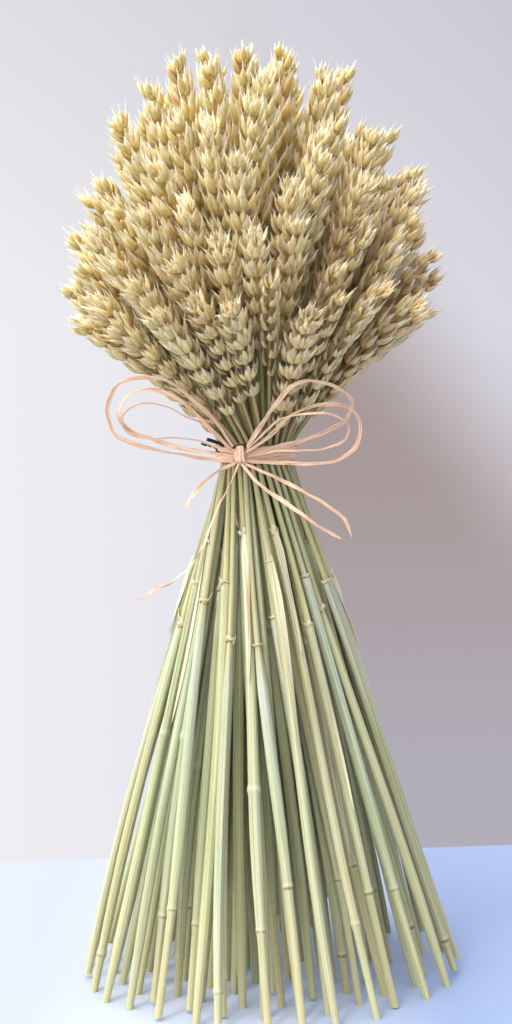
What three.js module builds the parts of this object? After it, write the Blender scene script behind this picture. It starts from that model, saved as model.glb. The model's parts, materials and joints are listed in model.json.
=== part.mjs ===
// A sheaf of dried wheat that stands on its splayed, level-cut stems, tied at the neck with raffia.
// Millimetres, +Z up. The origin is the level foot of the middle stalk, and the sheaf's front faces -Y.

import * as THREE from 'three';

// ---------------------------------------------------------------- the sheaf as a whole
const NECK_HEIGHT = 270; // middle of the tie
const TIE_HALF = 3.5; // half the height over which the outermost stems run straight up inside the tie
const TIE_RISE = 3.4; // each ring further in runs straight for this much longer
const RING_SIZES = [1, 6, 11, 17, 22, 28, 33]; // stalks in each ring at the neck
const RING_START = 0.3; // the rings' radii at the neck are RING_START + RING_PITCH * ring
const RING_PITCH = 2.8;
const STALKS_PER_GROUP = 3; // neighbours that are joined under the tie
const FOOT_RADIUS = 97; // of the outermost ring, where the stems stand
const FOOT_TURN = THREE.MathUtils.degToRad(30); // twist of the hand-tied spiral, neck to feet
const FOOT_STRAY = 3.8; // each foot's own shift
const FOOT_SHORT = 4; // the shortest stems end this far above the table
const SEED = 9;

// ---------------------------------------------------------------- stems
const STEM_AT_FOOT = 3.6; // side of the stem's section
const STEM_AT_NECK = 2.05;
const STEM_AT_EAR = 1.9;
const STEM_PIECE = 45; // length of a straight piece above the tie

// ---------------------------------------------------------------- the head of ears
const HEAD_LEAN = THREE.MathUtils.degToRad(50); // the outermost tips, seen from the neck
const HEAD_LEAN_POWER = 1.15; // over 1 crowds the tips towards the middle
const HEAD_TURN = THREE.MathUtils.degToRad(-18); // twist of the spiral, neck to tips
const HEAD_TOP = 206; // the middle tips' distance from the neck
const HEAD_DROP = 97; // tips at HEAD_DROP_LEAN lie this much nearer the neck
const HEAD_DROP_LEAN = THREE.MathUtils.degToRad(66);
const HEAD_STRAY = 7; // each tip's own shift along its ear
const LEAN_STAGGER = THREE.MathUtils.degToRad(2.4); // neighbours lean in and out by turns
const LEAN_STRAY = THREE.MathUtils.degToRad(1.4);
const TURN_STRAY = 0.2; // each stalk's own turn, as a share of the angle between neighbours
const EAR_LENGTHS = [78, 98];
const STEM_SHORTEST = 9; // from the tie to the ear
const BOW = 5; // how far an outer stalk bows out, from the tie to its tip

// ---------------------------------------------------------------- one ear
const TIER_PITCH = 16; // spikelets of one row, larger than life
const CORE_HALF = 3.1;
const SCALE_WIDE = 6.4; // reach of the scales' points across the rows
const SCALE_DEEP = 5.3; // and square to that
const SCALE_OVERHANG = 0.14; // a point stands over the next tier by this share of the pitch
const EAR_PIECES = 8; // straight pieces that stand for an ear where its neighbours keep clear of it
const CLEAR = 0.4; // gap between neighbouring stalks

// ---------------------------------------------------------------- the tie
const WIRE_SIDE = 0.6;
const WIRE_RADIUS = 18.65;
const WIRE_STRETCHES = 24;
const WIRE_STEP = 4;
const BAND_INNER = 19.4;
const BAND_OUTER = 20.9;
const BAND_GROOVE = 20.3;
const BAND_HALF = 4.5;
const BAND_WRAPS = 3;
const KNOT_SIZE = [5.6, 4.2, 9.6]; // wide, deep, tall
const KNOT_ANGLE = THREE.MathUtils.degToRad(-109);
const STRAND = 1.8; // diameter of a bow strand
const THIN_STRAND = 1.4;
const STRAND_SIDES = 8;
const STRAND_STEP = 3; // diameters to a step

// The bow's strands, from the knot round to the knot, and its tails, from the knot to their loose ends.
const ROUTES = {
  raffia_loop_left_outer: [
    [-11.2, -23, 274.3], [-19, -30, 287], [-31, -41, 301], [-42, -48, 309], [-54, -48, 311], [-65, -43, 308],
    [-72, -36, 295], [-69, -31, 282], [-52, -27, 275], [-32, -25, 270], [-11.2, -23, 267.3],
  ],
  raffia_loop_left_inner: [
    [-11.2, -23, 271.6], [-19, -29, 281], [-31, -38, 295], [-43, -41, 303], [-54, -41, 304.5], [-63, -38, 300],
    [-66.5, -33, 291], [-62, -29, 284], [-49, -26, 278.5], [-30, -24.5, 273], [-11.2, -23, 269.4],
  ],
  raffia_loop_right_outer: [
    [-4.1, -23.4, 271.6], [8, -32, 280], [22, -42, 292], [37, -41, 295.5], [49, -35, 291.5], [53, -33, 283],
    [50, -31, 273], [42, -29, 267.5], [27, -27, 265], [10, -25, 266], [-4.1, -23.4, 267.3],
  ],
  raffia_loop_right_inner: [
    [-4.1, -23.4, 273.9], [3, -35, 284], [12, -50, 297], [23, -58, 306.5], [34.5, -57, 307], [43, -52, 303],
    [48.5, -44, 296], [45, -37, 287], [35, -31, 281], [17, -27, 275.5], [-4.1, -23.4, 269.4],
  ],
  raffia_tail_left_short: [[-10, -24.2, 266], [-17, -28, 263.5], [-25, -32, 258], [-31.5, -34, 251], [-36, -34, 244]],
  raffia_tail_left_long: [
    [-8.4, -24.9, 265.9], [-12, -29, 257.5], [-18, -35, 246], [-24, -41, 232], [-31, -45, 219], [-41, -46, 210],
    [-52, -44, 205], [-62, -41, 199],
  ],
  raffia_tail_right_upper: [
    [-4.9, -24.3, 265.4], [4, -28, 262], [18, -34, 255], [35, -38, 246], [44, -38, 238], [47, -37, 229],
  ],
  raffia_tail_right_lower: [[-6.7, -24.9, 265.6], [1, -30, 257], [13, -37, 248], [28, -42, 238], [42, -42, 229]],
};

const STRAW = { color: 0xc9b47a, roughness: 0.85, metalness: 0 };
const RAFFIA = { color: 0xd9ab82, roughness: 0.7, metalness: 0 };
const WIRE = { color: 0x1d1a18, roughness: 0.5, metalness: 0 };

const group = new THREE.Group();

function addMesh(name, geometry, finish) {
  const mesh = new THREE.Mesh(geometry, new THREE.MeshStandardMaterial(finish));
  mesh.name = name;
  group.add(mesh);
}

// A number from 0 to 1 that is the same on every run, for one stalk and one use.
function draw(stalk, use) {
  const wave = Math.sin(stalk * 12.9898 + use * 78.233 + SEED) * 43758.5453;
  return wave - Math.floor(wave);
}

// The same, from -1 to 1.
function swing(stalk, use) {
  return 2 * draw(stalk, use) - 1;
}

// A direction that leans from upright by lean, towards the compass angle turn.
function direction(lean, turn) {
  const flat = Math.sin(lean);
  return new THREE.Vector3(flat * Math.cos(turn), flat * Math.sin(turn), Math.cos(lean));
}

// Where each stalk passes the neck.
function neckPlaces() {
  const places = [];
  RING_SIZES.forEach((size, ring) => {
    for (let step = 0; step < size; step++) {
      const angle = (2 * Math.PI * (step + 0.5 * (ring % 2))) / size;
      const radius = ring === 0 ? 0 : RING_START + RING_PITCH * ring;
      places.push({ index: places.length, ring, step, angle, radius });
    }
  });
  return places;
}

// Works out a stalk's centre line: foot, straight stretch in the tie, and one curve from there to the ear's tip.
function plan(place) {
  const { index, ring, step, angle, radius } = place;
  const outerRadius = RING_START + RING_PITCH * (RING_SIZES.length - 1);
  const share = ring / (RING_SIZES.length - 1);
  const low = new THREE.Vector3(radius * Math.cos(angle), radius * Math.sin(angle), NECK_HEIGHT - TIE_HALF);
  const high = low.clone().setZ(NECK_HEIGHT + TIE_HALF + TIE_RISE * (RING_SIZES.length - 1 - ring));

  const footRadius = (FOOT_RADIUS / outerRadius) * radius;
  const stray = ring === 0 ? 0 : FOOT_STRAY * Math.sqrt(draw(index, 1));
  const strayTurn = 2 * Math.PI * draw(index, 2);
  const ground = new THREE.Vector3(
    footRadius * Math.cos(angle + FOOT_TURN) + stray * Math.cos(strayTurn),
    footRadius * Math.sin(angle + FOOT_TURN) + stray * Math.sin(strayTurn),
    0,
  );
  const short = ring === 0 ? 0 : FOOT_SHORT * Math.max(0, 2 * draw(index, 3) - 1);
  const foot = ground.clone().lerp(low, short / low.z);

  const stagger = step % 2 === 0 ? LEAN_STAGGER : -LEAN_STAGGER;
  const sway = share * (stagger + LEAN_STRAY * swing(index, 4));
  const lean = HEAD_LEAN * Math.pow(share, HEAD_LEAN_POWER) + sway;
  const turnStray = ring === 0 ? 0 : ((TURN_STRAY * 2 * Math.PI) / RING_SIZES[ring]) * swing(index, 5);
  const turn = angle + HEAD_TURN * share + turnStray;
  const drop = HEAD_DROP * 0.5 * (1 - Math.cos((Math.PI * lean) / HEAD_DROP_LEAN));
  const reach = HEAD_TOP - drop + HEAD_STRAY * swing(index, 6);
  const tip = direction(lean, turn).multiplyScalar(reach).add(new THREE.Vector3(0, 0, NECK_HEIGHT));
  const lift = direction(lean - Math.PI / 2, turn).multiplyScalar(2 * BOW * share);
  const bend = high.clone().lerp(tip, 0.5).add(lift);
  const upper = new THREE.QuadraticBezierCurve3(high, bend, tip);

  const upperLength = upper.getLength();
  const wanted = THREE.MathUtils.lerp(EAR_LENGTHS[0], EAR_LENGTHS[1], draw(index, 7));
  const length = Math.min(wanted, upperLength - STEM_SHORTEST);
  const earFrom = 1 - length / upperLength;
  const roll = (Math.PI / 4) * swing(index, 8);
  const flip = draw(index, 9) < 0.5 ? 0 : 1;
  return { ...place, low, high, foot, upper, upperLength, earFrom, length, roll, flip };
}

// How far along its upper curve each of a stalk's rings of stem corners lies.
function stemStations(stalk) {
  const pieces = Math.max(1, Math.round((stalk.earFrom * stalk.upperLength) / STEM_PIECE));
  return Array.from({ length: pieces }, (_, k) => ((k + 1) / pieces) * stalk.earFrom);
}

// Straight pieces of a stalk's centre line, against which its neighbours keep their distance.
function centreLine(stalk) {
  const pieces = [{ line: new THREE.Line3(stalk.foot, stalk.low), isEar: false }];
  const stem = stemStations(stalk);
  const ear = Array.from({ length: EAR_PIECES }, (_, k) => THREE.MathUtils.lerp(stalk.earFrom, 1, (k + 1) / EAR_PIECES));
  let from = stalk.high;
  [...stem, ...ear].forEach((along, k) => {
    const to = stalk.upper.getPointAt(along);
    pieces.push({ line: new THREE.Line3(from, to), isEar: k >= stem.length });
    from = to;
  });
  return pieces;
}

// Whether a point of one stalk keeps clear of all others: outside their stems and nearer its own ear than theirs.
function isClear(point, own, stalk, lines) {
  const nearest = new THREE.Vector3();
  for (let other = 0; other < lines.length; other++) {
    if (other === stalk.index) {
      continue;
    }
    for (const { line, isEar } of lines[other]) {
      const distance = line.closestPointToPoint(point, true, nearest).distanceTo(point);
      const wanted = isEar ? own + CLEAR : 0.75 * STEM_AT_NECK + CLEAR;
      if (distance < wanted) {
        return false;
      }
    }
  }
  return true;
}

// Draws a point in towards its centre line until it is clear of the neighbours.
function drawnIn(centre, offset, stalk, lines) {
  const point = new THREE.Vector3();
  for (let share = 1; share > 0.2; share -= 0.08) {
    point.copy(centre).addScaledVector(offset, share);
    if (isClear(point, offset.length() * share, stalk, lines)) {
      return point;
    }
  }
  return point;
}

// Collects the corners and faces of one solid.
class Solid {
  constructor() {
    this.corners = [];
    this.faces = [];
  }

  corner(point) {
    this.corners.push(point.x, point.y, point.z);
    return this.corners.length / 3 - 1;
  }

  triangle(a, b, c) {
    this.faces.push(a, b, c);
  }

  quad(a, b, c, d) {
    this.faces.push(a, b, c, a, c, d);
  }

  // The sides between two rings of four corners, leaving out those in skipped.
  sleeve(lower, upper, skipped = []) {
    for (let k = 0; k < 4; k++) {
      const next = (k + 1) % 4;
      if (!skipped.includes(k)) {
        this.quad(lower[k], lower[next], upper[next], upper[k]);
      }
    }
  }

  geometry() {
    const geometry = new THREE.BufferGeometry();
    geometry.setAttribute('position', new THREE.Float32BufferAttribute(this.corners, 3));
    geometry.setIndex(this.faces);
    geometry.computeVertexNormals();
    return geometry;
  }
}

// Two directions square to a centre line, the first as near as can be to the stalk's outward side.
function across(tangent, stalk) {
  const outward = new THREE.Vector3(Math.cos(stalk.angle), Math.sin(stalk.angle), 0);
  const first = outward.addScaledVector(tangent, -outward.dot(tangent)).normalize();
  const second = new THREE.Vector3().crossVectors(tangent, first);
  return { first, second };
}

// A vector square to the centre line, at an angle round it.
function offsetAt({ first, second }, angle, wide, deep) {
  const offset = first.clone().multiplyScalar(wide * Math.cos(angle));
  return offset.addScaledVector(second, deep * Math.sin(angle));
}

const CORNER_ANGLES = [0, 1, 2, 3].map((k) => Math.PI / 4 + (k * Math.PI) / 2);

// Four corners of a stem's square section.
function stemRing(solid, centre, tangent, stalk, side) {
  const frame = across(tangent, stalk);
  const half = side * Math.SQRT1_2;
  return CORNER_ANGLES.map((angle) => solid.corner(offsetAt(frame, angle, half, half).add(centre)));
}

// The lowest ring, cut level where the stem stands.
function footRing(solid, stalk) {
  const tangent = stalk.low.clone().sub(stalk.foot).normalize();
  const frame = across(tangent, stalk);
  const half = STEM_AT_FOOT * Math.SQRT1_2;
  return CORNER_ANGLES.map((angle) => {
    const point = offsetAt(frame, angle, half, half).add(stalk.foot);
    point.addScaledVector(tangent, (stalk.foot.z - point.z) / tangent.z);
    return solid.corner(point);
  });
}

// How full an ear is along its length: slim at the foot, full from a quarter up, and a little slimmer at the tip.
function fullness(share) {
  return Math.min(1, 0.68 + 1.5 * share) * (1 - 0.48 * Math.max(0, (share - 0.55) / 0.45));
}

// Grows an ear on a stem's last ring: a slim core whose every side rises to a pointed scale, in tiers.
// The rows on the two narrow sides alternate by half a tier, as spikelets do on their stalk.
function growEar(solid, firstRing, stalk, lines) {
  const tiers = Math.round(stalk.length / TIER_PITCH);
  const pitch = 1 / (tiers + 0.75);
  const tangent = new THREE.Vector3();
  const centre = new THREE.Vector3();
  const rowAngle = CORNER_ANGLES[stalk.flip];

  const station = (share) => {
    const along = Math.min(1, THREE.MathUtils.lerp(stalk.earFrom, 1, share));
    stalk.upper.getPointAt(along, centre);
    stalk.upper.getTangentAt(along, tangent);
    return across(tangent, stalk);
  };
  // A corner's or scale's rise over its tier's level, from 0 on one row to half a tier on the other.
  const rise = (angle) => 0.25 * pitch * (1 - Math.cos(angle - rowAngle));

  let lower = firstRing;
  for (let tier = 0; tier < tiers; tier++) {
    const upper = CORNER_ANGLES.map((angle) => {
      const share = (tier + 1) * pitch + rise(angle);
      const frame = station(share);
      const half = CORE_HALF * fullness(share);
      return solid.corner(drawnIn(centre, offsetAt(frame, angle + stalk.roll, half, half), stalk, lines));
    });
    for (let k = 0; k < 4; k++) {
      const angle = CORNER_ANGLES[k] + Math.PI / 4;
      const share = (tier + 1 + SCALE_OVERHANG) * pitch + rise(angle);
      const frame = station(share);
      const full = fullness(share);
      const row = Math.cos(angle - rowAngle);
      const side = Math.sin(angle - rowAngle);
      const offset = offsetAt(frame, rowAngle + stalk.roll, SCALE_WIDE * full * row, SCALE_WIDE * full * row);
      offset.add(offsetAt(frame, rowAngle + Math.PI / 2 + stalk.roll, SCALE_DEEP * full * side, SCALE_DEEP * full * side));
      const point = solid.corner(drawnIn(centre, offset.multiplyScalar(Math.SQRT2), stalk, lines));
      const next = (k + 1) % 4;
      solid.triangle(lower[k], lower[next], point);
      solid.triangle(lower[next], upper[next], point);
      solid.triangle(upper[next], upper[k], point);
      solid.triangle(upper[k], lower[k], point);
    }
    lower = upper;
  }
  const tip = solid.corner(stalk.upper.getPoint(1));
  for (let k = 0; k < 4; k++) {
    solid.triangle(lower[k], lower[(k + 1) % 4], tip);
  }
}

// Grows one whole stalk. The sides that face its neighbours in the tie are left open where a bridge will join them.
function growStalk(solid, stalk, lines, openSides) {
  const foot = footRing(solid, stalk);
  const up = new THREE.Vector3(0, 0, 1);
  const low = stemRing(solid, stalk.low, up, stalk, STEM_AT_NECK);
  const high = stemRing(solid, stalk.high, up, stalk, STEM_AT_NECK);
  solid.quad(foot[3], foot[2], foot[1], foot[0]);
  solid.sleeve(foot, low);
  solid.sleeve(low, high, openSides);
  let lower = high;
  for (const along of stemStations(stalk)) {
    const centre = stalk.upper.getPointAt(along);
    const upper = stemRing(solid, centre, stalk.upper.getTangentAt(along), stalk, STEM_AT_EAR);
    solid.sleeve(lower, upper);
    lower = upper;
  }
  growEar(solid, lower, stalk, lines);
  return { low, high };
}

// Joins the open side of one stalk to its next neighbour's, inside the tie.
const NEXT_SIDE = 0;
const PREVIOUS_SIDE = 2;

function bridge(solid, from, to) {
  solid.quad(from.low[0], to.low[3], to.high[3], from.high[0]);
  solid.quad(from.low[1], from.high[1], to.high[2], to.low[2]);
  solid.quad(from.high[1], from.high[0], to.high[3], to.high[2]);
  solid.quad(from.low[1], to.low[2], to.low[3], from.low[0]);
}

function growGroup(stalks, lines) {
  const solid = new Solid();
  const rings = stalks.map((stalk, k) => {
    const openSides = [];
    if (k < stalks.length - 1) {
      openSides.push(NEXT_SIDE);
    }
    if (k > 0) {
      openSides.push(PREVIOUS_SIDE);
    }
    return growStalk(solid, stalk, lines, openSides);
  });
  for (let k = 1; k < rings.length; k++) {
    bridge(solid, rings[k - 1], rings[k]);
  }
  return solid.geometry();
}

// All stalks of one ring in runs of STALKS_PER_GROUP or fewer.
function groupsOf(ringStalks) {
  const count = Math.ceil(ringStalks.length / STALKS_PER_GROUP);
  const groups = [];
  let from = 0;
  for (let k = 0; k < count; k++) {
    const size = Math.ceil((ringStalks.length - from) / (count - k));
    groups.push(ringStalks.slice(from, from + size));
    from += size;
  }
  return groups;
}

function addStalks() {
  const stalks = neckPlaces().map(plan);
  const lines = stalks.map(centreLine);
  addMesh('stalk_middle', growGroup([stalks[0]], lines), STRAW);
  let number = 1;
  for (let ring = 1; ring < RING_SIZES.length; ring++) {
    for (const members of groupsOf(stalks.filter((stalk) => stalk.ring === ring))) {
      addMesh(`stalks_${String(number).padStart(2, '0')}`, growGroup(members, lines), STRAW);
      number += 1;
    }
  }
}

// ---------------------------------------------------------------- wire and raffia

// A closed tube along a smooth curve through the points.
function strand(points, diameter, sides, step) {
  const curve = new THREE.CatmullRomCurve3(points.map((point) => new THREE.Vector3(...point)));
  const section = new THREE.Shape();
  for (let k = 0; k < sides; k++) {
    const angle = (2 * Math.PI * (k + 0.5)) / sides;
    const [x, y] = [0.5 * diameter * Math.cos(angle), 0.5 * diameter * Math.sin(angle)];
    if (k === 0) {
      section.moveTo(x, y);
    } else {
      section.lineTo(x, y);
    }
  }
  const steps = Math.max(4, Math.round(curve.getLength() / step));
  return new THREE.ExtrudeGeometry(section, { steps, extrudePath: curve, bevelEnabled: false });
}

// The wire goes round the stems under the raffia. Its two ends come out between neighbouring stems, over the band.
function addWire() {
  const stemAngle = (2 * Math.PI) / RING_SIZES.at(-1);
  const startAngle = -13.5 * stemAngle;
  const turn = 2 * Math.PI - stemAngle;
  // Radius, height over the tie's middle, and turn, which follows the stems' own twist.
  const rise = [[26.5, 7.5, -0.07], [22, 7, -0.055], [19.8, 6.2, -0.04], [18.75, 4.6, -0.016], [18.7, 2.4, 0]];
  const at = (angle, radius, height) => [radius * Math.cos(angle), radius * Math.sin(angle), NECK_HEIGHT + height];
  const points = rise.map(([radius, height, twist]) => at(startAngle + twist, radius, height));
  for (let k = 1; k < WIRE_STRETCHES; k++) {
    points.push(at(startAngle + (turn * k) / WIRE_STRETCHES, WIRE_RADIUS, 0));
  }
  rise.reverse().forEach(([radius, height, twist]) => points.push(at(startAngle + turn + twist, radius, height)));
  addMesh('wire_tie', strand(points, WIRE_SIDE * Math.SQRT2, 4, WIRE_STEP), WIRE);
}

function addBand() {
  const profile = [new THREE.Vector2(BAND_INNER, BAND_HALF), new THREE.Vector2(BAND_INNER, -BAND_HALF)];
  for (let wrap = 0; wrap < BAND_WRAPS; wrap++) {
    const height = (2 * BAND_HALF) / BAND_WRAPS;
    const from = -BAND_HALF + wrap * height;
    profile.push(new THREE.Vector2(BAND_GROOVE, from));
    profile.push(new THREE.Vector2(BAND_OUTER, from + 0.5 * height));
  }
  profile.push(new THREE.Vector2(BAND_GROOVE, BAND_HALF));
  profile.push(profile[0].clone());
  const geometry = new THREE.LatheGeometry(profile, 24);
  geometry.rotateX(Math.PI / 2);
  geometry.translate(0, 0, NECK_HEIGHT);
  addMesh('raffia_band', geometry, RAFFIA);
}

function addKnot() {
  const geometry = new THREE.SphereGeometry(0.5, 8, 6);
  geometry.scale(KNOT_SIZE[0], KNOT_SIZE[2], KNOT_SIZE[1]);
  geometry.rotateX(Math.PI / 2);
  geometry.rotateZ(KNOT_ANGLE + Math.PI / 2);
  const radius = BAND_OUTER + 0.3 + 0.5 * KNOT_SIZE[1];
  geometry.translate(radius * Math.cos(KNOT_ANGLE), radius * Math.sin(KNOT_ANGLE), NECK_HEIGHT);
  addMesh('raffia_knot', geometry, RAFFIA);
}

function addBow() {
  for (const [name, route] of Object.entries(ROUTES)) {
    const diameter = name === 'raffia_tail_left_long' ? THIN_STRAND : STRAND;
    addMesh(name, strand(route, diameter, STRAND_SIDES, STRAND_STEP * diameter), RAFFIA);
  }
}

addStalks();
addWire();
addBand();
addKnot();
addBow();

export default group;
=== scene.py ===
"""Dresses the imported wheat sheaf: ears, stems, torn sheaths, wire tie and raffia bow, in metres in the CAD frame."""

import json
import logging
import math
from dataclasses import dataclass, field
from enum import Enum
from typing import Iterable, Sequence

import bmesh
import bpy
import numpy as np
from mathutils import Euler, Matrix, Vector

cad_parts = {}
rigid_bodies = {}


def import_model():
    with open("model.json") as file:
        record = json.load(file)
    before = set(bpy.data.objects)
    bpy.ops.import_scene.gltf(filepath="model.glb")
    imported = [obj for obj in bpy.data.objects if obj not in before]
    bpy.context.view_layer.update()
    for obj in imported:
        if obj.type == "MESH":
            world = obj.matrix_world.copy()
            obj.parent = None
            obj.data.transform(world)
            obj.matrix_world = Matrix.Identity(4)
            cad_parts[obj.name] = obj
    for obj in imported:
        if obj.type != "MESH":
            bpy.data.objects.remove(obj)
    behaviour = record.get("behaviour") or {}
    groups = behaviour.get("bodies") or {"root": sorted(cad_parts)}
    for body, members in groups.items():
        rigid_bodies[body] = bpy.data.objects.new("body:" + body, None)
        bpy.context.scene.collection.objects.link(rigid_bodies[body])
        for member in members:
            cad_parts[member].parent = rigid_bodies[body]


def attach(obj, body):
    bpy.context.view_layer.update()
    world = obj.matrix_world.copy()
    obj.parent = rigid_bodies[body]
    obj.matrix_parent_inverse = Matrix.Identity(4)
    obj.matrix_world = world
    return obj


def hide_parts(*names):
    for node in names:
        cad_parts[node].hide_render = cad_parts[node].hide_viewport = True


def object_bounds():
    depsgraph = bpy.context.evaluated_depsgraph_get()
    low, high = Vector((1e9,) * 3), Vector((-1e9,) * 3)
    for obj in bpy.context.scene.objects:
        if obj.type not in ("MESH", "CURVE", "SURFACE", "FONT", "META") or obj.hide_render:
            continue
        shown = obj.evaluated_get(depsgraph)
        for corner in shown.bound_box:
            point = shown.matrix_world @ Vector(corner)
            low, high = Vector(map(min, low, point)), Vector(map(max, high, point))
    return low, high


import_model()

CAD_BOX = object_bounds()
BODY = "root"
MM = 0.001
LAST_RING = 6
LOG = logging.getLogger("sheaf")

Point = np.ndarray


# ---------------------------------------------------------------- shared tools


def draw(stalk: int, use: int) -> float:
    """Gives a number from 0 to 1 that is the same on every run.

    Args:
        stalk: The stalk's number.
        use: What the number is for, so that each use has its own.

    Returns:
        The number, the same that the CAD source draws.
    """
    wave = math.sin(stalk * 12.9898 + use * 78.233 + StalkField.seed) * 43758.5453
    return wave - math.floor(wave)


def swing(stalk: int, use: int) -> float:
    """Returns draw's number, spread from -1 to 1."""
    return 2 * draw(stalk, use) - 1


def lerp(start: float, end: float, share: float) -> float:
    """Returns the value that lies share of the way from start to end."""
    return start + (end - start) * share


def direction(lean: float, turn: float) -> Point:
    """Returns the unit vector that leans from upright by lean, towards the compass angle turn."""
    flat = math.sin(lean)
    return np.array([flat * math.cos(turn), flat * math.sin(turn), math.cos(lean)])


def unit(vector: Point) -> Point:
    """Returns the vector at length 1."""
    return vector / np.linalg.norm(vector)


def show(piece: bpy.types.Object, slot: str, *nodes: str) -> bpy.types.Object:
    """Rides a finished piece on the sheaf and hides the CAD nodes that it stands for.

    Args:
        piece: The finished mesh object, at the origin.
        slot: The record's material slot; not used.
        nodes: The CAD nodes that it replaces.

    Returns:
        The piece.
    """
    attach(piece, BODY)
    if nodes:
        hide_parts(*nodes)
    LOG.info("%s: %d faces", piece.name, len(piece.data.polygons))
    return piece


def mesh_object(name: str, corners: Sequence, faces: Sequence, smooth: bool = True) -> bpy.types.Object:
    """Makes a mesh object at the origin and links it to the scene.

    Args:
        name: The object's name.
        corners: Corner positions in metres.
        faces: Corner numbers of each face.
        smooth: Whether its faces are shaded smooth.

    Returns:
        The new object.
    """
    mesh = bpy.data.meshes.new(name)
    mesh.from_pydata([tuple(corner) for corner in corners], [], [tuple(face) for face in faces])
    mesh.polygons.foreach_set("use_smooth", [smooth] * len(mesh.polygons))
    made = bpy.data.objects.new(name, mesh)
    bpy.context.scene.collection.objects.link(made)
    return made


def write_attribute(mesh: bpy.types.Mesh, name: str, kind: str, values: Iterable) -> None:
    """Stores one value for each corner of a mesh.

    Args:
        mesh: The mesh.
        name: The attribute's name.
        kind: Blender's word for its type, FLOAT, INT or FLOAT_VECTOR.
        values: One number or vector for each corner.
    """
    attribute = mesh.attributes.new(name, kind, "POINT")
    flat = np.asarray(list(values)).ravel()
    attribute.data.foreach_set("vector" if kind == "FLOAT_VECTOR" else "value", flat)


def line_object(name: str, lines: Sequence[list[dict]], closed: bool = False) -> bpy.types.Object:
    """Makes an object of plain lines for Geometry Nodes to follow.

    Args:
        name: The object's name.
        lines: Each line's stations, which hold co and the numbers and vectors to store.
        closed: Whether each line ends where it starts.

    Returns:
        The new object.
    """
    stations = [station for line in lines for station in line]
    edges: list[tuple[int, int]] = []
    start = 0
    for line in lines:
        edges += [(start + k, start + k + 1) for k in range(len(line) - 1)]
        if closed:
            edges.append((start + len(line) - 1, start))
        start += len(line)
    mesh = bpy.data.meshes.new(name)
    mesh.from_pydata([tuple(station["co"]) for station in stations], edges, [])
    for key, value in stations[0].items():
        if key != "co":
            kind = "FLOAT" if np.ndim(value) == 0 else "FLOAT_VECTOR"
            write_attribute(mesh, key, kind, [station[key] for station in stations])
    made = bpy.data.objects.new(name, mesh)
    bpy.context.scene.collection.objects.link(made)
    return made


class Tree:
    """A node tree that is laid out by short calls, for Geometry Nodes, materials and the room."""

    def __init__(self, tree: bpy.types.NodeTree) -> None:
        """Takes the tree to lay nodes in."""
        self.tree = tree

    def node(self, kind: str, inputs: dict | None = None, **settings: object) -> bpy.types.Node:
        """Adds one node.

        Args:
            kind: The node's type name.
            inputs: Socket name or number to a value, or to the output socket that feeds it.
            settings: The node's own properties.

        Returns:
            The node.
        """
        made = self.tree.nodes.new(kind)
        for key, value in settings.items():
            setattr(made, key, value)
        for key, value in (inputs or {}).items():
            if isinstance(value, bpy.types.NodeSocket):
                self.tree.links.new(value, made.inputs[key])
            else:
                made.inputs[key].default_value = value
        return made

    def math(self, operation: str, *values: object) -> bpy.types.NodeSocket:
        """Adds a shader or geometry Math node.

        Args:
            operation: Blender's word for what it does.
            values: Numbers or output sockets.

        Returns:
            Its output socket.
        """
        return self.node("ShaderNodeMath", dict(enumerate(values)), operation=operation).outputs[0]

    def span(
        self, value: object, start: float, end: float, low: float = 0.0, high: float = 1.0, smooth: bool = False
    ) -> bpy.types.NodeSocket:
        """Adds a Map Range node.

        Args:
            value: What drives it.
            start: Where the change begins.
            end: Where it ends.
            low: The result at the start and before it.
            high: The result at the end and past it.
            smooth: Whether the change eases in and out.

        Returns:
            Its output socket.
        """
        easing = "SMOOTHSTEP" if smooth else "LINEAR"
        inputs = {0: value, 1: start, 2: end, 3: low, 4: high}
        return self.node("ShaderNodeMapRange", inputs, interpolation_type=easing).outputs[0]

    def ramp(self, value: bpy.types.NodeSocket, *stops: tuple[float, object]) -> bpy.types.NodeSocket:
        """Adds a colour ramp.

        Args:
            value: What drives it.
            stops: Place and colour of each stop. A plain number is a grey.

        Returns:
            Its colour output.
        """
        node = self.node("ShaderNodeValToRGB", {0: value})
        elements = node.color_ramp.elements
        while len(elements) < len(stops):
            elements.new(0.5)
        for element, (place, colour) in zip(elements, stops):
            colour = colour if isinstance(colour, tuple) else (colour, colour, colour)
            element.position = place
            element.color = (*colour, 1)
        return node.outputs[0]

    def mix(self, share: object, first: object, second: object, blend: str = "MIX") -> bpy.types.NodeSocket:
        """Adds a colour Mix node.

        Args:
            share: How much of the second colour, as a number or a socket.
            first: The first colour or socket.
            second: The second colour or socket.
            blend: Blender's word for how they mix.

        Returns:
            Its colour output.
        """
        first = (*first, 1) if isinstance(first, tuple) else first
        second = (*second, 1) if isinstance(second, tuple) else second
        node = self.node("ShaderNodeMix", {0: share, 6: first, 7: second}, data_type="RGBA", blend_type=blend)
        return node.outputs[2]


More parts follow.
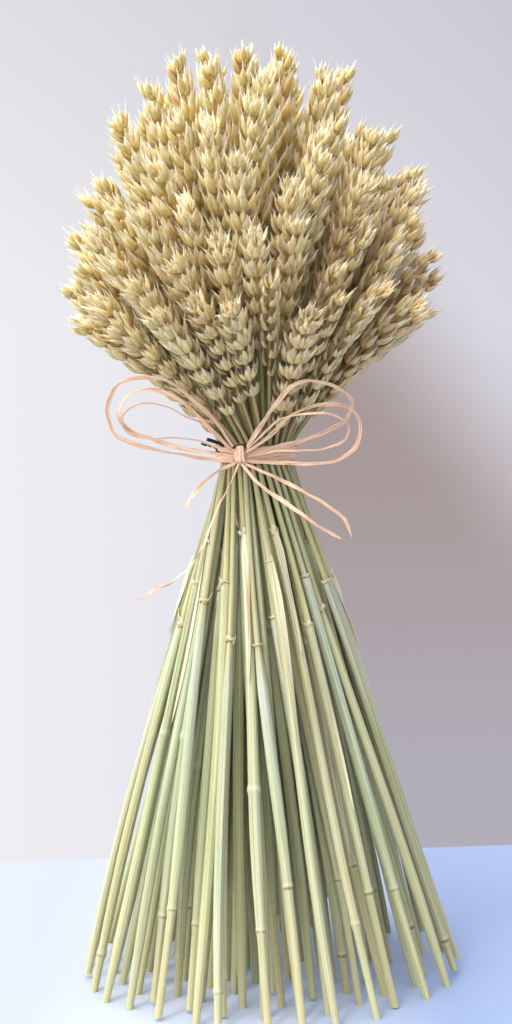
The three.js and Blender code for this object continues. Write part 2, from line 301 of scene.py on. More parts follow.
class GeometryTree(Tree):
    """A Geometry Nodes tree with named inputs that ends in Realize Instances and Set Material."""

    def __init__(self, name: str, inputs: dict[str, str]) -> None:
        """Starts the tree.

        Args:
            name: The tree's name.
            inputs: Each named input beside the geometry and the material, and its socket type.
        """
        super().__init__(bpy.data.node_groups.new(name, "GeometryNodeTree"))
        sockets = {"Geometry": "NodeSocketGeometry", **inputs, "Finish": "NodeSocketMaterial"}
        for title, kind in sockets.items():
            self.tree.interface.new_socket(title, in_out="INPUT", socket_type=kind)
        self.tree.interface.new_socket("Geometry", in_out="OUTPUT", socket_type="NodeSocketGeometry")
        self.source = self.node("NodeGroupInput").outputs

    def named(self, name: str, data_type: str) -> bpy.types.NodeSocket:
        """Returns the output of a Named Attribute node."""
        return self.node("GeometryNodeInputNamedAttribute", {"Name": name}, data_type=data_type).outputs[0]

    def store(
        self, name: str, geometry: bpy.types.NodeSocket, value: bpy.types.NodeSocket
    ) -> bpy.types.NodeSocket:
        """Returns the geometry with a number stored on it under a name."""
        inputs = {"Geometry": geometry, "Name": name, "Value": value}
        return self.node("GeometryNodeStoreNamedAttribute", inputs, data_type="FLOAT").outputs[0]

    def sweep(
        self, curve: bpy.types.NodeSocket, profile: bpy.types.NodeSocket, size: bpy.types.NodeSocket
    ) -> bpy.types.NodeSocket:
        """Sweeps a closed profile along curves.

        Args:
            curve: The curves.
            profile: The section.
            size: The section's size at each point.

        Returns:
            The smooth tubes, with filled ends.
        """
        inputs = {"Curve": curve, "Profile Curve": profile, "Scale": size, "Fill Caps": True}
        tube = self.node("GeometryNodeCurveToMesh", inputs).outputs[0]
        return self.node("GeometryNodeSetShadeSmooth", {"Geometry": tube}).outputs[0]

    def close(self, geometry: bpy.types.NodeSocket) -> None:
        """Ends the tree with Realize Instances and Set Material.

        Args:
            geometry: What the tree has made.
        """
        real = self.node("GeometryNodeRealizeInstances", {"Geometry": geometry}).outputs[0]
        dressed = self.node("GeometryNodeSetMaterial", {"Geometry": real, "Material": self.source["Finish"]})
        self.node("NodeGroupOutput", {"Geometry": dressed.outputs[0]})

    def grow(self, name: str, seedling: bpy.types.Object, values: dict[str, object]) -> bpy.types.Object:
        """Runs the tree on an object and turns the result into a plain mesh.

        Args:
            name: The name of the finished piece.
            seedling: The object that holds the points or lines to grow on. It is removed.
            values: Each named input and its value.

        Returns:
            The finished object, at the origin, with no modifier.
        """
        modifier = seedling.modifiers.new(name, "NODES")
        modifier.node_group = self.tree
        for item in self.tree.interface.items_tree:
            if item.in_out == "INPUT" and item.name in values:
                modifier[item.identifier] = values[item.name]
        depsgraph = bpy.context.evaluated_depsgraph_get()
        mesh = bpy.data.meshes.new_from_object(seedling.evaluated_get(depsgraph))
        mesh.name = name
        seedling.modifiers.remove(modifier)
        bpy.data.objects.remove(seedling)
        piece = bpy.data.objects.new(name, mesh)
        bpy.context.scene.collection.objects.link(piece)
        return piece


def ribbon_tree() -> GeometryTree:
    """Returns the tree that sweeps a folded ribbon along each line, by its across and width attributes."""
    tree = GeometryTree("ribbon_tree", {"Thickness": "NodeSocketFloat"})
    curve = tree.node("GeometryNodeMeshToCurve", {"Mesh": tree.source["Geometry"]}).outputs[0]
    facing = tree.node(
        "GeometryNodeSetCurveNormal", {"Curve": curve, "Normal": tree.named("across", "FLOAT_VECTOR")}, mode="FREE"
    ).outputs[0]
    ring = tree.node("GeometryNodeCurvePrimitiveCircle", {"Resolution": 18, "Radius": 0.5}).outputs[0]
    stored = tree.store("around", ring, tree.node("GeometryNodeSplineParameter").outputs["Factor"])
    place = tree.node("ShaderNodeSeparateXYZ", {0: tree.node("GeometryNodeInputPosition").outputs[0]})
    folds = tree.math("MULTIPLY", tree.math("SINE", tree.math("MULTIPLY", place.outputs[0], 13.0)), 0.07)
    bowed = tree.math("MULTIPLY", tree.math("MULTIPLY", place.outputs[0], place.outputs[0]), 0.35)
    flat = tree.math("MULTIPLY", place.outputs[1], tree.source["Thickness"])
    depth = tree.math("ADD", flat, tree.math("ADD", folds, bowed))
    shaped = tree.node(
        "GeometryNodeSetPosition",
        {
            "Geometry": stored,
            "Position": tree.node("ShaderNodeCombineXYZ", {0: place.outputs[0], 1: depth}).outputs[0],
        },
    ).outputs[0]
    tree.close(tree.sweep(facing, shaped, tree.named("width", "FLOAT")))
    return tree


# ---------------------------------------------------------------- where every stalk runs


@dataclass(frozen=True)
class Stalk:
    """One stalk's centre line: foot, the straight stretch in the tie, and the curve from there to the ear's tip."""

    index: int
    ring: int
    step: int
    angle: float
    foot: Point
    low: Point
    high: Point
    bend: Point
    tip: Point
    ear_length: float
    upper_length: float
    arc: Point
    roll: float
    flip: int

    @property
    def ear_from(self) -> float:
        """Where along the upper curve the ear begins, from 0 to 1."""
        return 1 - self.ear_length / self.upper_length

    def _share(self, along: float) -> float:
        """Returns the curve's own parameter at a share of its length."""
        return float(np.interp(along * self.arc[-1], self.arc, np.linspace(0, 1, len(self.arc))))

    def upper(self, along: float) -> Point:
        """Returns the point at a share of the upper curve's length."""
        t = self._share(along)
        return (1 - t) ** 2 * self.high + 2 * t * (1 - t) * self.bend + t * t * self.tip

    def heading(self, along: float) -> Point:
        """Returns the curve's unit direction at a share of its length."""
        t = self._share(along)
        return unit((1 - t) * (self.bend - self.high) + t * (self.tip - self.bend))


@dataclass(frozen=True)
class StalkField:
    """The rule that places every stalk, with the same driving sizes as the CAD source."""

    seed = 9
    neck_height: float = 270 * MM
    tie_half: float = 3.5 * MM
    tie_rise: float = 3.4 * MM
    ring_sizes: tuple[int, ...] = (1, 6, 11, 17, 22, 28, 33)
    ring_start: float = 0.3 * MM
    ring_pitch: float = 2.8 * MM
    stalks_per_group: int = 3
    foot_radius: float = 97 * MM
    foot_turn: float = math.radians(30)
    foot_stray: float = 3.8 * MM
    foot_short: float = 4 * MM
    head_lean: float = math.radians(50)
    head_lean_power: float = 1.15
    head_turn: float = math.radians(-18)
    head_top: float = 206 * MM
    head_drop: float = 97 * MM
    head_drop_lean: float = math.radians(66)
    head_stray: float = 7 * MM
    lean_stagger: float = math.radians(2.4)
    lean_stray: float = math.radians(1.4)
    turn_stray: float = 0.2
    ear_lengths: tuple[float, float] = (78 * MM, 98 * MM)
    stem_shortest: float = 9 * MM
    bow: float = 5 * MM
    arc_divisions: int = 200

    def _plan(self, index: int, ring: int, step: int) -> Stalk:
        """Works out one stalk.

        Args:
            index: Its number in the whole sheaf.
            ring: Its ring at the neck.
            step: Its place in the ring.

        Returns:
            The stalk's centre line.
        """
        last = len(self.ring_sizes) - 1
        size = self.ring_sizes[ring]
        share = ring / last
        angle = 2 * math.pi * (step + 0.5 * (ring % 2)) / size
        radius = self.ring_start + self.ring_pitch * ring if ring else 0.0
        low = np.array([radius * math.cos(angle), radius * math.sin(angle), self.neck_height - self.tie_half])
        high = low.copy()
        high[2] = self.neck_height + self.tie_half + self.tie_rise * (last - ring)

        foot_radius = self.foot_radius / (self.ring_start + self.ring_pitch * last) * radius
        stray = self.foot_stray * math.sqrt(draw(index, 1)) if ring else 0.0
        stray_turn = 2 * math.pi * draw(index, 2)
        turned = angle + self.foot_turn
        ground = np.array([
            foot_radius * math.cos(turned) + stray * math.cos(stray_turn),
            foot_radius * math.sin(turned) + stray * math.sin(stray_turn),
            0.0,
        ])
        short = self.foot_short * max(0.0, 2 * draw(index, 3) - 1) if ring else 0.0
        foot = ground + (low - ground) * short / low[2]

        stagger = self.lean_stagger if step % 2 == 0 else -self.lean_stagger
        sway = share * (stagger + self.lean_stray * swing(index, 4))
        lean = self.head_lean * share**self.head_lean_power + sway
        turn_stray = self.turn_stray * 2 * math.pi / size * swing(index, 5) if ring else 0.0
        turn = angle + self.head_turn * share + turn_stray
        drop = self.head_drop * 0.5 * (1 - math.cos(math.pi * lean / self.head_drop_lean))
        reach = self.head_top - drop + self.head_stray * swing(index, 6)
        tip = direction(lean, turn) * reach + np.array([0, 0, self.neck_height])
        lift = direction(lean - math.pi / 2, turn) * 2 * self.bow * share
        bend = (high + tip) / 2 + lift

        t = np.linspace(0, 1, self.arc_divisions + 1)[:, None]
        line = (1 - t) ** 2 * high + 2 * t * (1 - t) * bend + t * t * tip
        arc = np.concatenate([[0], np.cumsum(np.linalg.norm(np.diff(line, axis=0), axis=1))])
        upper_length = float(arc[-1])
        wanted = lerp(*self.ear_lengths, draw(index, 7))
        return Stalk(
            index, ring, step, angle, foot, low, high, bend, tip,
            ear_length=min(wanted, upper_length - self.stem_shortest),
            upper_length=upper_length,
            arc=arc,
            roll=math.pi / 4 * swing(index, 8),
            flip=0 if draw(index, 9) < 0.5 else 1,
        )

    def groups(self) -> dict[str, list[Stalk]]:
        """Returns each CAD node's stalks, by the node's name."""
        groups: dict[str, list[Stalk]] = {}
        index = 0
        number = 0
        for ring, size in enumerate(self.ring_sizes):
            stalks = [self._plan(index + step, ring, step) for step in range(size)]
            index += size
            if ring == 0:
                groups["stalk_middle"] = stalks
                continue
            count = math.ceil(size / self.stalks_per_group)
            start = 0
            for k in range(count):
                number += 1
                run = math.ceil((size - start) / (count - k))
                groups[f"stalks_{number:02d}"] = stalks[start : start + run]
                start += run
        return groups


# ---------------------------------------------------------------- finishes


class MaterialTree(Tree):
    """A material's tree with one Principled shader."""

    def __init__(self, name: str, **sockets: object) -> None:
        """Makes the material.

        Args:
            name: The material's name.
            sockets: Fixed values for the shader's sockets, with _ for each space.
        """
        self.material = bpy.data.materials.new(name)
        self.material.use_nodes = True
        super().__init__(self.material.node_tree)
        self.shader = self.tree.nodes["Principled BSDF"]
        for key, value in sockets.items():
            self.shader.inputs[key.replace("_", " ")].default_value = value

    def attribute(self, name: str) -> bpy.types.NodeSocket:
        """Returns the number that a mesh attribute holds."""
        return self.node("ShaderNodeAttribute", attribute_name=name).outputs["Fac"]

    def streaks(self, along: float, around: float, shift: str) -> bpy.types.NodeSocket:
        """Makes lines that run lengthwise, from a piece's own along and around attributes.

        Args:
            along: Noise waves over the length.
            around: Noise waves round the section.
            shift: The attribute that shifts the pattern from one repeat to the next.

        Returns:
            A number from 0 to 1.
        """
        place = self.node(
            "ShaderNodeCombineXYZ",
            {
                0: self.math("MULTIPLY", self.attribute("along"), along),
                1: self.math("MULTIPLY", self.attribute("around"), around),
                2: self.math("MULTIPLY", self.attribute(shift), 37.0),
            },
        ).outputs[0]
        return self.node("ShaderNodeTexNoise", {"Vector": place, "Scale": 1.0, "Detail": 3.0}).outputs["Fac"]

    def close(self, colour: bpy.types.NodeSocket, height: bpy.types.NodeSocket, strength: float) -> bpy.types.Material:
        """Joins colour and bump to the shader.

        Args:
            colour: The base colour.
            height: What the bump follows.
            strength: The bump's strength.

        Returns:
            The finished material.
        """
        bump = self.node("ShaderNodeBump", {"Strength": strength, "Distance": 0.0004, "Height": height})
        self.tree.links.new(colour, self.shader.inputs["Base Color"])
        self.tree.links.new(bump.outputs[0], self.shader.inputs["Normal"])
        return self.material


@dataclass(frozen=True)
class HuskFinish:
    """The dry husks of an ear: straw gold on the backs, cream on keels and thin tips, brown at the bases, with painted
    shade in the crevices, low in the head and in the gaps between ears.
    """

    base_and_crevice_shade: tuple = (0.72, 0.48, 0.13)
    shadow: tuple = (0.27, 0.14, 0.03)
    body: tuple = (0.865, 0.735, 0.28)
    tip: tuple = (0.92, 0.88, 0.67)
    point: tuple = (0.40, 0.32, 0.17)
    golden: tuple = (0.82, 0.53, 0.13)
    dusky: tuple = (0.79, 0.59, 0.34)
    green: tuple = (0.70, 0.72, 0.36)
    line: tuple = (0.52, 0.36, 0.19)
    painted_gap_shade: tuple = (0.34, 0.23, 0.09)

    def build(self) -> bpy.types.Material:
        """Returns the husks' material."""
        tree = MaterialTree("husk", Roughness=0.42, Subsurface_Weight=0.35, Subsurface_Scale=0.003)
        tree.shader.inputs["Subsurface Radius"].default_value = (1.0, 0.7, 0.35)
        along = tree.attribute("along")
        dusk = tree.attribute("dusk")
        # Husk bases: partly their own darker tone and partly painted shade in the crevices, which deepens towards near
        # black low in the head and on its right side.
        deep = tree.mix(dusk, self.base_and_crevice_shade, self.shadow)
        colour = tree.ramp(along, (0.3, self.body), (0.6, self.body), (0.92, self.tip))
        colour = tree.mix(tree.ramp(along, (0.0, 1.0), (0.25, 0.0)), colour, deep)
        plump = tree.ramp(along, (0.1, 1.0), (0.62, 0.8), (0.85, 0.1))
        colour = tree.mix(tree.math("MULTIPLY", tree.attribute("tint"), plump), colour, self.golden)
        colour = tree.mix(tree.math("MULTIPLY", dusk, 0.75), colour, self.dusky)
        colour = tree.mix(tree.math("MULTIPLY", tree.attribute("sap"), 0.4), colour, self.green)
        keel = tree.ramp(tree.attribute("around"), (0.0, 0.45), (0.2, 0.0))
        pale = tree.math("MULTIPLY", keel, tree.ramp(along, (0.2, 0.2), (0.8, 1.0)))
        colour = tree.mix(pale, colour, self.tip)
        margin = tree.ramp(tree.attribute("around"), (0.78, 0.0), (0.98, 0.5))
        papery = tree.math("MULTIPLY", margin, tree.ramp(along, (0.1, 0.3), (0.5, 1.0)))
        colour = tree.mix(papery, colour, self.tip)
        colour = tree.mix(tree.ramp(along, (0.97, 0.0), (1.0, 0.8)), colour, self.point)
        # Painted shade: husks shut in between ears turn dark brown, by their deep attribute.
        colour = tree.mix(tree.math("MULTIPLY", tree.attribute("deep"), 0.68), colour, self.painted_gap_shade)
        lines = tree.streaks(1.6, 9.0, "shade")
        colour = tree.mix(0.85, colour, tree.ramp(lines, (0.36, self.line), (0.56, (1.0, 1.0, 1.0))), "MULTIPLY")
        bright = tree.math("ADD", tree.math("MULTIPLY", tree.attribute("shade"), 0.34), 0.8)
        tone = tree.node("ShaderNodeCombineColor", {0: bright, 1: bright, 2: bright}).outputs[0]
        return tree.close(tree.mix(1.0, colour, tone, "MULTIPLY"), lines, 0.5)


@dataclass(frozen=True)
class StemFinish:
    """Dried stems: pale sage to straw yellow, finely ribbed, with brown rings at the joints, and painted olive shade on
    the inner stems, by the tie, on the neck and beside the sheath's seam.
    """

    blue_green: tuple = (0.40, 0.475, 0.32)
    sage: tuple = (0.50, 0.525, 0.28)
    pale: tuple = (0.55, 0.55, 0.37)
    straw: tuple = (0.54, 0.50, 0.285)
    yellow: tuple = (0.54, 0.495, 0.225)
    brown: tuple = (0.26, 0.16, 0.07)
    painted_shade_olive: tuple = (0.20, 0.15, 0.05)
    rachis: tuple = (0.50, 0.36, 0.16)
    rib: tuple = (0.55, 0.54, 0.44)
    bloom: tuple = (0.50, 0.53, 0.50)

    def build(self) -> bpy.types.Material:
        """Returns the stems' material."""
        tree = MaterialTree(
            "stem", Roughness=0.6, Specular_IOR_Level=0.25, Subsurface_Weight=0.5, Subsurface_Scale=0.002
        )
        tree.shader.inputs["Subsurface Radius"].default_value = (1.0, 0.85, 0.4)
        tint = tree.attribute("tint")
        wrapped = tree.ramp(
            tint, (0.0, self.blue_green), (0.14, self.sage), (0.4, self.pale), (0.56, self.sage),
            (0.7, self.blue_green), (0.82, self.sage), (1.0, self.straw),
        )
        bare = tree.ramp(tint, (0.0, self.sage), (0.3, self.yellow), (0.75, self.straw), (1.0, self.sage))
        colour = tree.mix(tree.attribute("wrapped"), bare, wrapped)
        patches = tree.streaks(1.6, 3.0, "tint")
        colour = tree.mix(tree.ramp(patches, (0.46, 0.0), (0.66, 0.85)), colour, self.pale)
        bands = tree.streaks(0.8, 8.0, "tint")
        colour = tree.mix(tree.ramp(bands, (0.5, 0.0), (0.64, 0.55)), colour, self.yellow)
        ribs = tree.streaks(0.9, 34.0, "tint")
        colour = tree.mix(0.9, colour, tree.ramp(ribs, (0.36, self.rib), (0.58, (1.0, 1.0, 1.0))), "MULTIPLY")
        colour = tree.mix(tree.math("MULTIPLY", tree.attribute("bloom"), 0.8), colour, self.bloom)
        # Painted shadow: a dark olive line beside the edge where the wrapped sheath laps over itself.
        seam_shadow = tree.ramp(tree.attribute("around"), (0.89, 0.0), (0.915, 0.85))
        colour = tree.mix(tree.math("MULTIPLY", seam_shadow, tree.attribute("wrapped")), colour, self.painted_shade_olive)
        # Painted shade: the shadow attribute darkens stems towards olive.
        colour = tree.mix(tree.attribute("shadow"), colour, self.painted_shade_olive)
        colour = tree.mix(tree.ramp(tree.attribute("along"), (0.0, 0.5), (0.95, 0.0)), colour, self.straw)
        worn = tree.ramp(tree.streaks(0.7, 5.0, "tint"), (0.4, 0.7), (0.56, 1.0))
        ring = tree.math("MULTIPLY", tree.attribute("joint"), worn)
        colour = tree.mix(tree.ramp(ring, (0.0, 0.0), (0.2, 0.3)), colour, self.pale)
        colour = tree.mix(tree.ramp(ring, (0.3, 0.0), (0.75, 1.0)), colour, self.brown)
        colour = tree.mix(tree.attribute("ear"), colour, self.rachis)
        return tree.close(colour, ribs, 0.8)


@dataclass(frozen=True)
class SheathFinish:
    """Torn, papery rim of a leaf sheath."""

    light: tuple = (0.66, 0.60, 0.38)
    dark: tuple = (0.36, 0.24, 0.10)
    brown: tuple = (0.25, 0.14, 0.06)

    def build(self) -> bpy.types.Material:
        """Returns the sheaths' material."""
        tree = MaterialTree("sheath", Roughness=0.7, Subsurface_Weight=0.1, Subsurface_Scale=0.001)
        lines = tree.streaks(1.4, 9.0, "shade")
        colour = tree.ramp(lines, (0.36, self.dark), (0.5, self.light))
        colour = tree.mix(tree.attribute("stain"), colour, self.brown)
        return tree.close(colour, lines, 0.4)


@dataclass(frozen=True)
class RaffiaFinish:
    """Dry raffia: peach-tan fibre with lengthwise lines and a satin sheen."""

    dark: tuple = (0.48, 0.24, 0.13)
    body: tuple = (0.79, 0.48, 0.29)
    light: tuple = (0.88, 0.65, 0.46)

    def build(self) -> bpy.types.Material:
        """Returns the raffia's material."""
        tree = MaterialTree("raffia", Roughness=0.45, Subsurface_Weight=0.08, Subsurface_Scale=0.001)
        lines = tree.streaks(2.5, 13.0, "tint")
        colour = tree.ramp(lines, (0.32, self.dark), (0.46, self.body), (0.64, self.light))
        return tree.close(colour, lines, 0.7)


@dataclass(frozen=True)
class WireFinish:
    """Matt black coated wire."""

    def build(self) -> bpy.types.Material:
        """Returns the wire's material."""
        tree = MaterialTree("wire", Roughness=0.5)
        place = tree.node("ShaderNodeTexCoord").outputs["Object"]
        noise = tree.node("ShaderNodeTexNoise", {"Vector": place, "Scale": 2500.0}).outputs["Fac"]
        return tree.close(tree.ramp(noise, (0.3, (0.008, 0.008, 0.008)), (0.8, (0.03, 0.028, 0.025))), noise, 0.2)


@dataclass(frozen=True)
class Finishes:
    """Every material of the sheaf."""

    husk: bpy.types.Material
    stem: bpy.types.Material
    sheath: bpy.types.Material
    raffia: bpy.types.Material
    wire: bpy.types.Material

    @staticmethod
    def build() -> "Finishes":
        """Returns the built materials."""
        return Finishes(
            HuskFinish().build(),
            StemFinish().build(),
            SheathFinish().build(),
            RaffiaFinish().build(),
            WireFinish().build(),
        )


@dataclass
class Scatter:
    """Sets small shapes on points with Geometry Nodes. The shapes live only while it works."""

    name: str
    shapes: Sequence[bpy.types.Object]
    finish: bpy.types.Material
    tree: GeometryTree = field(init=False)
    collection: bpy.types.Collection = field(init=False)

    def __post_init__(self) -> None:
        """Gathers the shapes and lays out the tree."""
        self.collection = bpy.data.collections.new(self.name)
        bpy.context.scene.collection.children.link(self.collection)
        for made in self.shapes:
            bpy.context.scene.collection.objects.unlink(made)
            self.collection.objects.link(made)
        self.tree = GeometryTree(f"{self.name}_tree", {"Shapes": "NodeSocketCollection", "Size": "NodeSocketFloat"})
        tree = self.tree
        shapes = tree.node(
            "GeometryNodeCollectionInfo", {"Collection": tree.source["Shapes"], "Separate Children": True}
        )
        size = tree.node(
            "ShaderNodeVectorMath",
            {0: tree.named("size", "FLOAT_VECTOR"), "Scale": tree.source["Size"]},
            operation="SCALE",
        )
        placed = tree.node(
            "GeometryNodeInstanceOnPoints",
            {
                "Points": tree.source["Geometry"],
                "Instance": shapes.outputs[0],
                "Pick Instance": True,
                "Instance Index": tree.named("kind", "INT"),
                "Rotation": tree.named("turn", "FLOAT_VECTOR"),
                "Scale": size.outputs[0],
            },
        )
        tree.close(placed.outputs[0])

    def sow(self, name: str, points: Sequence[dict]) -> bpy.types.Object:
        """Sets a shape on every point.

        Args:
            name: The name of the finished piece.
            points: Each point's co, turn, size and kind, and its numbers for the material.

        Returns:
            The finished object.
        """
        seedling = mesh_object(f"{name}_points", [point["co"] for point in points], [])
        kinds = {"turn": "FLOAT_VECTOR", "size": "FLOAT_VECTOR", "kind": "INT"}
        for key in points[0]:
            if key != "co":
                values = [point[key] for point in points]
                write_attribute(seedling.data, key, kinds.get(key, "FLOAT"), values)
        return self.tree.grow(name, seedling, {"Shapes": self.collection, "Size": 1.0, "Finish": self.finish})

    def clear(self) -> None:
        """Removes the shapes."""
        for made in list(self.collection.objects):
            bpy.data.objects.remove(made)
        bpy.data.collections.remove(self.collection)


# ---------------------------------------------------------------- ears


class Husk(Enum):
    """The kinds of husk in a spikelet, in the order of the shapes that are scattered."""

    GLUME = 0
    LEMMA = 1
    LEMMA_AWNED = 2
    TOP_LEMMA = 3
    AWN = 4


@dataclass(frozen=True)
class HuskShape:
    """A boat-shaped, keeled husk. It grows along +Z and its keeled back faces +X."""

    length: float
    wide: float
    deep: float
    beak: float
    belly: float
    fullness: tuple[float, ...]

    STATIONS = (0.0, 0.12, 0.34, 0.6, 0.82, 0.96)
    SECTION = (
        (0.58, 0.0, 0.0),
        (0.42, 0.27, 0.5),
        (0.08, 0.5, 1.0),
        (-0.15, 0.24, 1.4),
        (-0.15, -0.24, 1.4),
        (0.08, -0.5, 1.0),
        (0.42, -0.27, 0.5),
    )

    def make(self, name: str) -> bpy.types.Object:
        """Makes the husk as an object that Geometry Nodes repeat.

        Args:
            name: The object's name.

        Returns:
            The object, with its along and around attributes.
        """
        corners: list[tuple] = []
        along: list[float] = []
        around: list[float] = []
        sides = len(self.SECTION)
        for station, full in zip(self.STATIONS, self.fullness):
            arch = self.belly * math.sin(math.pi * station)
            for x, y, place in self.SECTION:
                corners.append((arch + x * self.deep * full, y * self.wide * full, station * self.length))
                along.append(station)
                around.append(place)
        corners.append((0.1 * self.deep, 0.0, self.length + self.beak))
        along.append(1.0)
        around.append(0.0)
        last = (len(self.STATIONS) - 1) * sides
        faces: list[tuple] = [tuple(reversed(range(sides)))]
        for start in range(0, last, sides):
            for k in range(sides):
                right = (k + 1) % sides
                faces.append((start + k, start + right, start + sides + right, start + sides + k))
        faces += [(last + k, last + (k + 1) % sides, len(corners) - 1) for k in range(sides)]
        made = mesh_object(name, corners, faces)
        write_attribute(made.data, "along", "FLOAT", along)
        write_attribute(made.data, "around", "FLOAT", around)
        return made


@dataclass(frozen=True)
class HuskPlace:
    """Where a husk sits in its spikelet, in millimetres and degrees.

    Out is away from the ear's stalk and side is along the fan. Face is the way that its keel looks.
    """

    kind: Husk
    out: float
    side: float
    up: float
    lean_out: float
    lean_side: float
    face: float
    size: float = 1.0


@dataclass
class Ears:
    """The ears: two rows of spikelets that alternate on a thin stalk, each a fan of pointed husks."""

    field_groups: dict[str, list[Stalk]]
    finishes: Finishes
    pitch: float = 5.7 * MM
    stalk_offset: float = 0.5 * MM
    foot_margin: float = 1.5 * MM
    bare_foot: float = 16.0 * MM
    tip_margin: float = 9.6 * MM
    roominess: float = 5.4 * MM
    sizes: tuple[float, float] = (0.9, 1.22)
    awned: float = 0.4
    parting: float = math.radians(-86)
    parting_width: float = 0.3
    # How far and how strongly the painted shade between ears reaches.
    painted_shade_reach: float = 9 * MM
    painted_shade_full: float = 2.7
    outer_row_ring: int = 5

    BLUNT = (0.4, 0.8, 1.0, 0.92, 0.62, 0.26)
    POINTED = (0.4, 0.75, 1.0, 0.86, 0.5, 0.2)
    SHARP = (0.4, 0.75, 1.0, 0.84, 0.46, 0.16)
    BRISTLE = (1.0, 0.9, 0.8, 0.7, 0.55, 0.45)
    SHAPES = {
        Husk.GLUME: HuskShape(9.4 * MM, 4.4 * MM, 2.7 * MM, 1.3 * MM, 0.5 * MM, BLUNT),
        Husk.LEMMA: HuskShape(10.6 * MM, 3.8 * MM, 2.8 * MM, 1.6 * MM, 0.6 * MM, POINTED),
        Husk.LEMMA_AWNED: HuskShape(10.6 * MM, 3.7 * MM, 2.8 * MM, 5.2 * MM, 0.6 * MM, SHARP),
        Husk.TOP_LEMMA: HuskShape(9.4 * MM, 3.4 * MM, 2.6 * MM, 1.6 * MM, 0.4 * MM, POINTED),
        Husk.AWN: HuskShape(9.0 * MM, 0.5 * MM, 0.4 * MM, 9.0 * MM, 0.3 * MM, BRISTLE),
    }
    FAN = (
        HuskPlace(Husk.GLUME, 1.5, -1.2, 0.0, 9, -15, -30),
        HuskPlace(Husk.GLUME, 1.5, 1.2, 0.4, 9, 15, 30),
        HuskPlace(Husk.LEMMA, 0.5, -1.9, 0.9, 7, -28, -64),
        HuskPlace(Husk.LEMMA, 0.5, 1.9, 1.4, 7, 28, 64),
        HuskPlace(Husk.LEMMA, 1.4, -0.7, 2.2, 12, -7, -14),
        HuskPlace(Husk.LEMMA, 1.3, 0.8, 2.8, 13, 8, 16),
        HuskPlace(Husk.TOP_LEMMA, 2.3, 0.0, 1.2, 17, -1, 4),
    )
    END_FAN = (
        HuskPlace(Husk.GLUME, 0.9, -1.2, -1.8, 8, -14, -50),
        HuskPlace(Husk.GLUME, 0.9, 1.2, -1.4, 8, 14, 50),
        HuskPlace(Husk.LEMMA, -0.9, -0.9, -1.0, -10, -8, -150),
        HuskPlace(Husk.LEMMA, -0.8, 1.0, -1.4, -9, 12, 140),
        HuskPlace(Husk.LEMMA_AWNED, 0.5, 0.8, -0.6, 5, 5, 30, 0.8),
        HuskPlace(Husk.TOP_LEMMA, 0.0, -0.2, 0.0, 0, -2, 170, 0.95),
    )
    LONG_AWNS = (
        HuskPlace(Husk.AWN, 0.3, 0.4, 4.0, 9, 7, 0),
        HuskPlace(Husk.AWN, -0.3, -0.4, 2.0, -8, -11, 0, 0.8),
    )

    def _kind(self, place: HuskPlace, stalk: int, use: int, height: float) -> Husk:
        """Returns the kind of husk at a place: high on an ear more of them end in a short awn.

        Args:
            place: The husk's place in the fan.
            stalk: The stalk's number.
            use: The number of its random draw.
            height: How far up the ear it sits, from 0 to 1.

        Returns:
            The kind.
        """
        if place.kind is Husk.LEMMA and draw(stalk, use + 300) < 0.9 * (height - 0.35):
            return Husk.LEMMA_AWNED
        return place.kind

    def _spikelet(
        self, stalk: Stalk, places: Sequence[HuskPlace], centre: Point, basis: np.ndarray, scale: float,
        number: int, height: float, others: Point,
    ) -> list[dict]:
        """Lays out one spikelet's husks.

        Args:
            stalk: The stalk that it belongs to.
            places: The husks of the fan.
            centre: Where the spikelet sits, in metres.
            basis: Columns out, side and up.
            scale: Its size against a full one.
            number: Its number in the ear, for its random draws.
            height: How far up the ear it sits, from 0 to 1.
            others: Points on the other ears' centre lines.

        Returns:
            One point for each husk.
        """
        points = []
        for k, place in enumerate(places):
            use = 20 + number * 8 + k
            kind = self._kind(place, stalk.index, use, height)
            out = math.radians(place.lean_out * lerp(1.4, 0.8, stalk.ring / LAST_RING) + 4 * swing(stalk.index, use))
            side = math.radians(place.lean_side + 4 * swing(stalk.index, use + 600))
            face = math.radians(place.face + 12 * swing(stalk.index, use + 900))
            up = np.array([math.sin(out) * math.cos(side), math.sin(side), math.cos(out) * math.cos(side)])
            keel = np.array([math.cos(face), math.sin(face), 0.0])
            keel = unit(keel - keel.dot(up) * up)
            turned = basis @ np.stack([keel, np.cross(up, keel), up], axis=1)
            size = scale * place.size * (1 + 0.06 * swing(stalk.index, use + 1200))
            co = centre + basis @ (np.array([place.out, place.side, place.up]) * MM * scale)
            size *= self._fit(co, turned[:, 2], self.SHAPES[kind], size)
            middle = co + turned[:, 2] * self.SHAPES[kind].length * 0.5 * size
            points.append({
                "co": co,
                "turn": tuple(Matrix(turned.tolist()).to_euler("XYZ")),
                "size": (size, size, size * (1 + 0.06 * swing(stalk.index, use + 1500))),
                "kind": kind.value,
                "shade": draw(stalk.index, use + 1800),
                "tint": min(0.9, 0.4 * draw(stalk.index, 11) + 1.8 * max(0.0, draw(stalk.index, use + 2100) - 0.55)),
                # This share is partly tan tone and partly painted shade in the crevices.
                "dusk": self._tan_and_painted_shade(co, height, kind) + 0.2 * swing(stalk.index, use + 2400),
                "sap": draw(stalk.index, 13) ** 2 * (1 - 0.6 * height),
                # deep is the painted shade of a husk that sits in a gap between ears.
                "deep": self._painted_gap_shade(middle, middle - centre + basis[:, 0] * MM, basis[:, 2], others),
            })
        return points

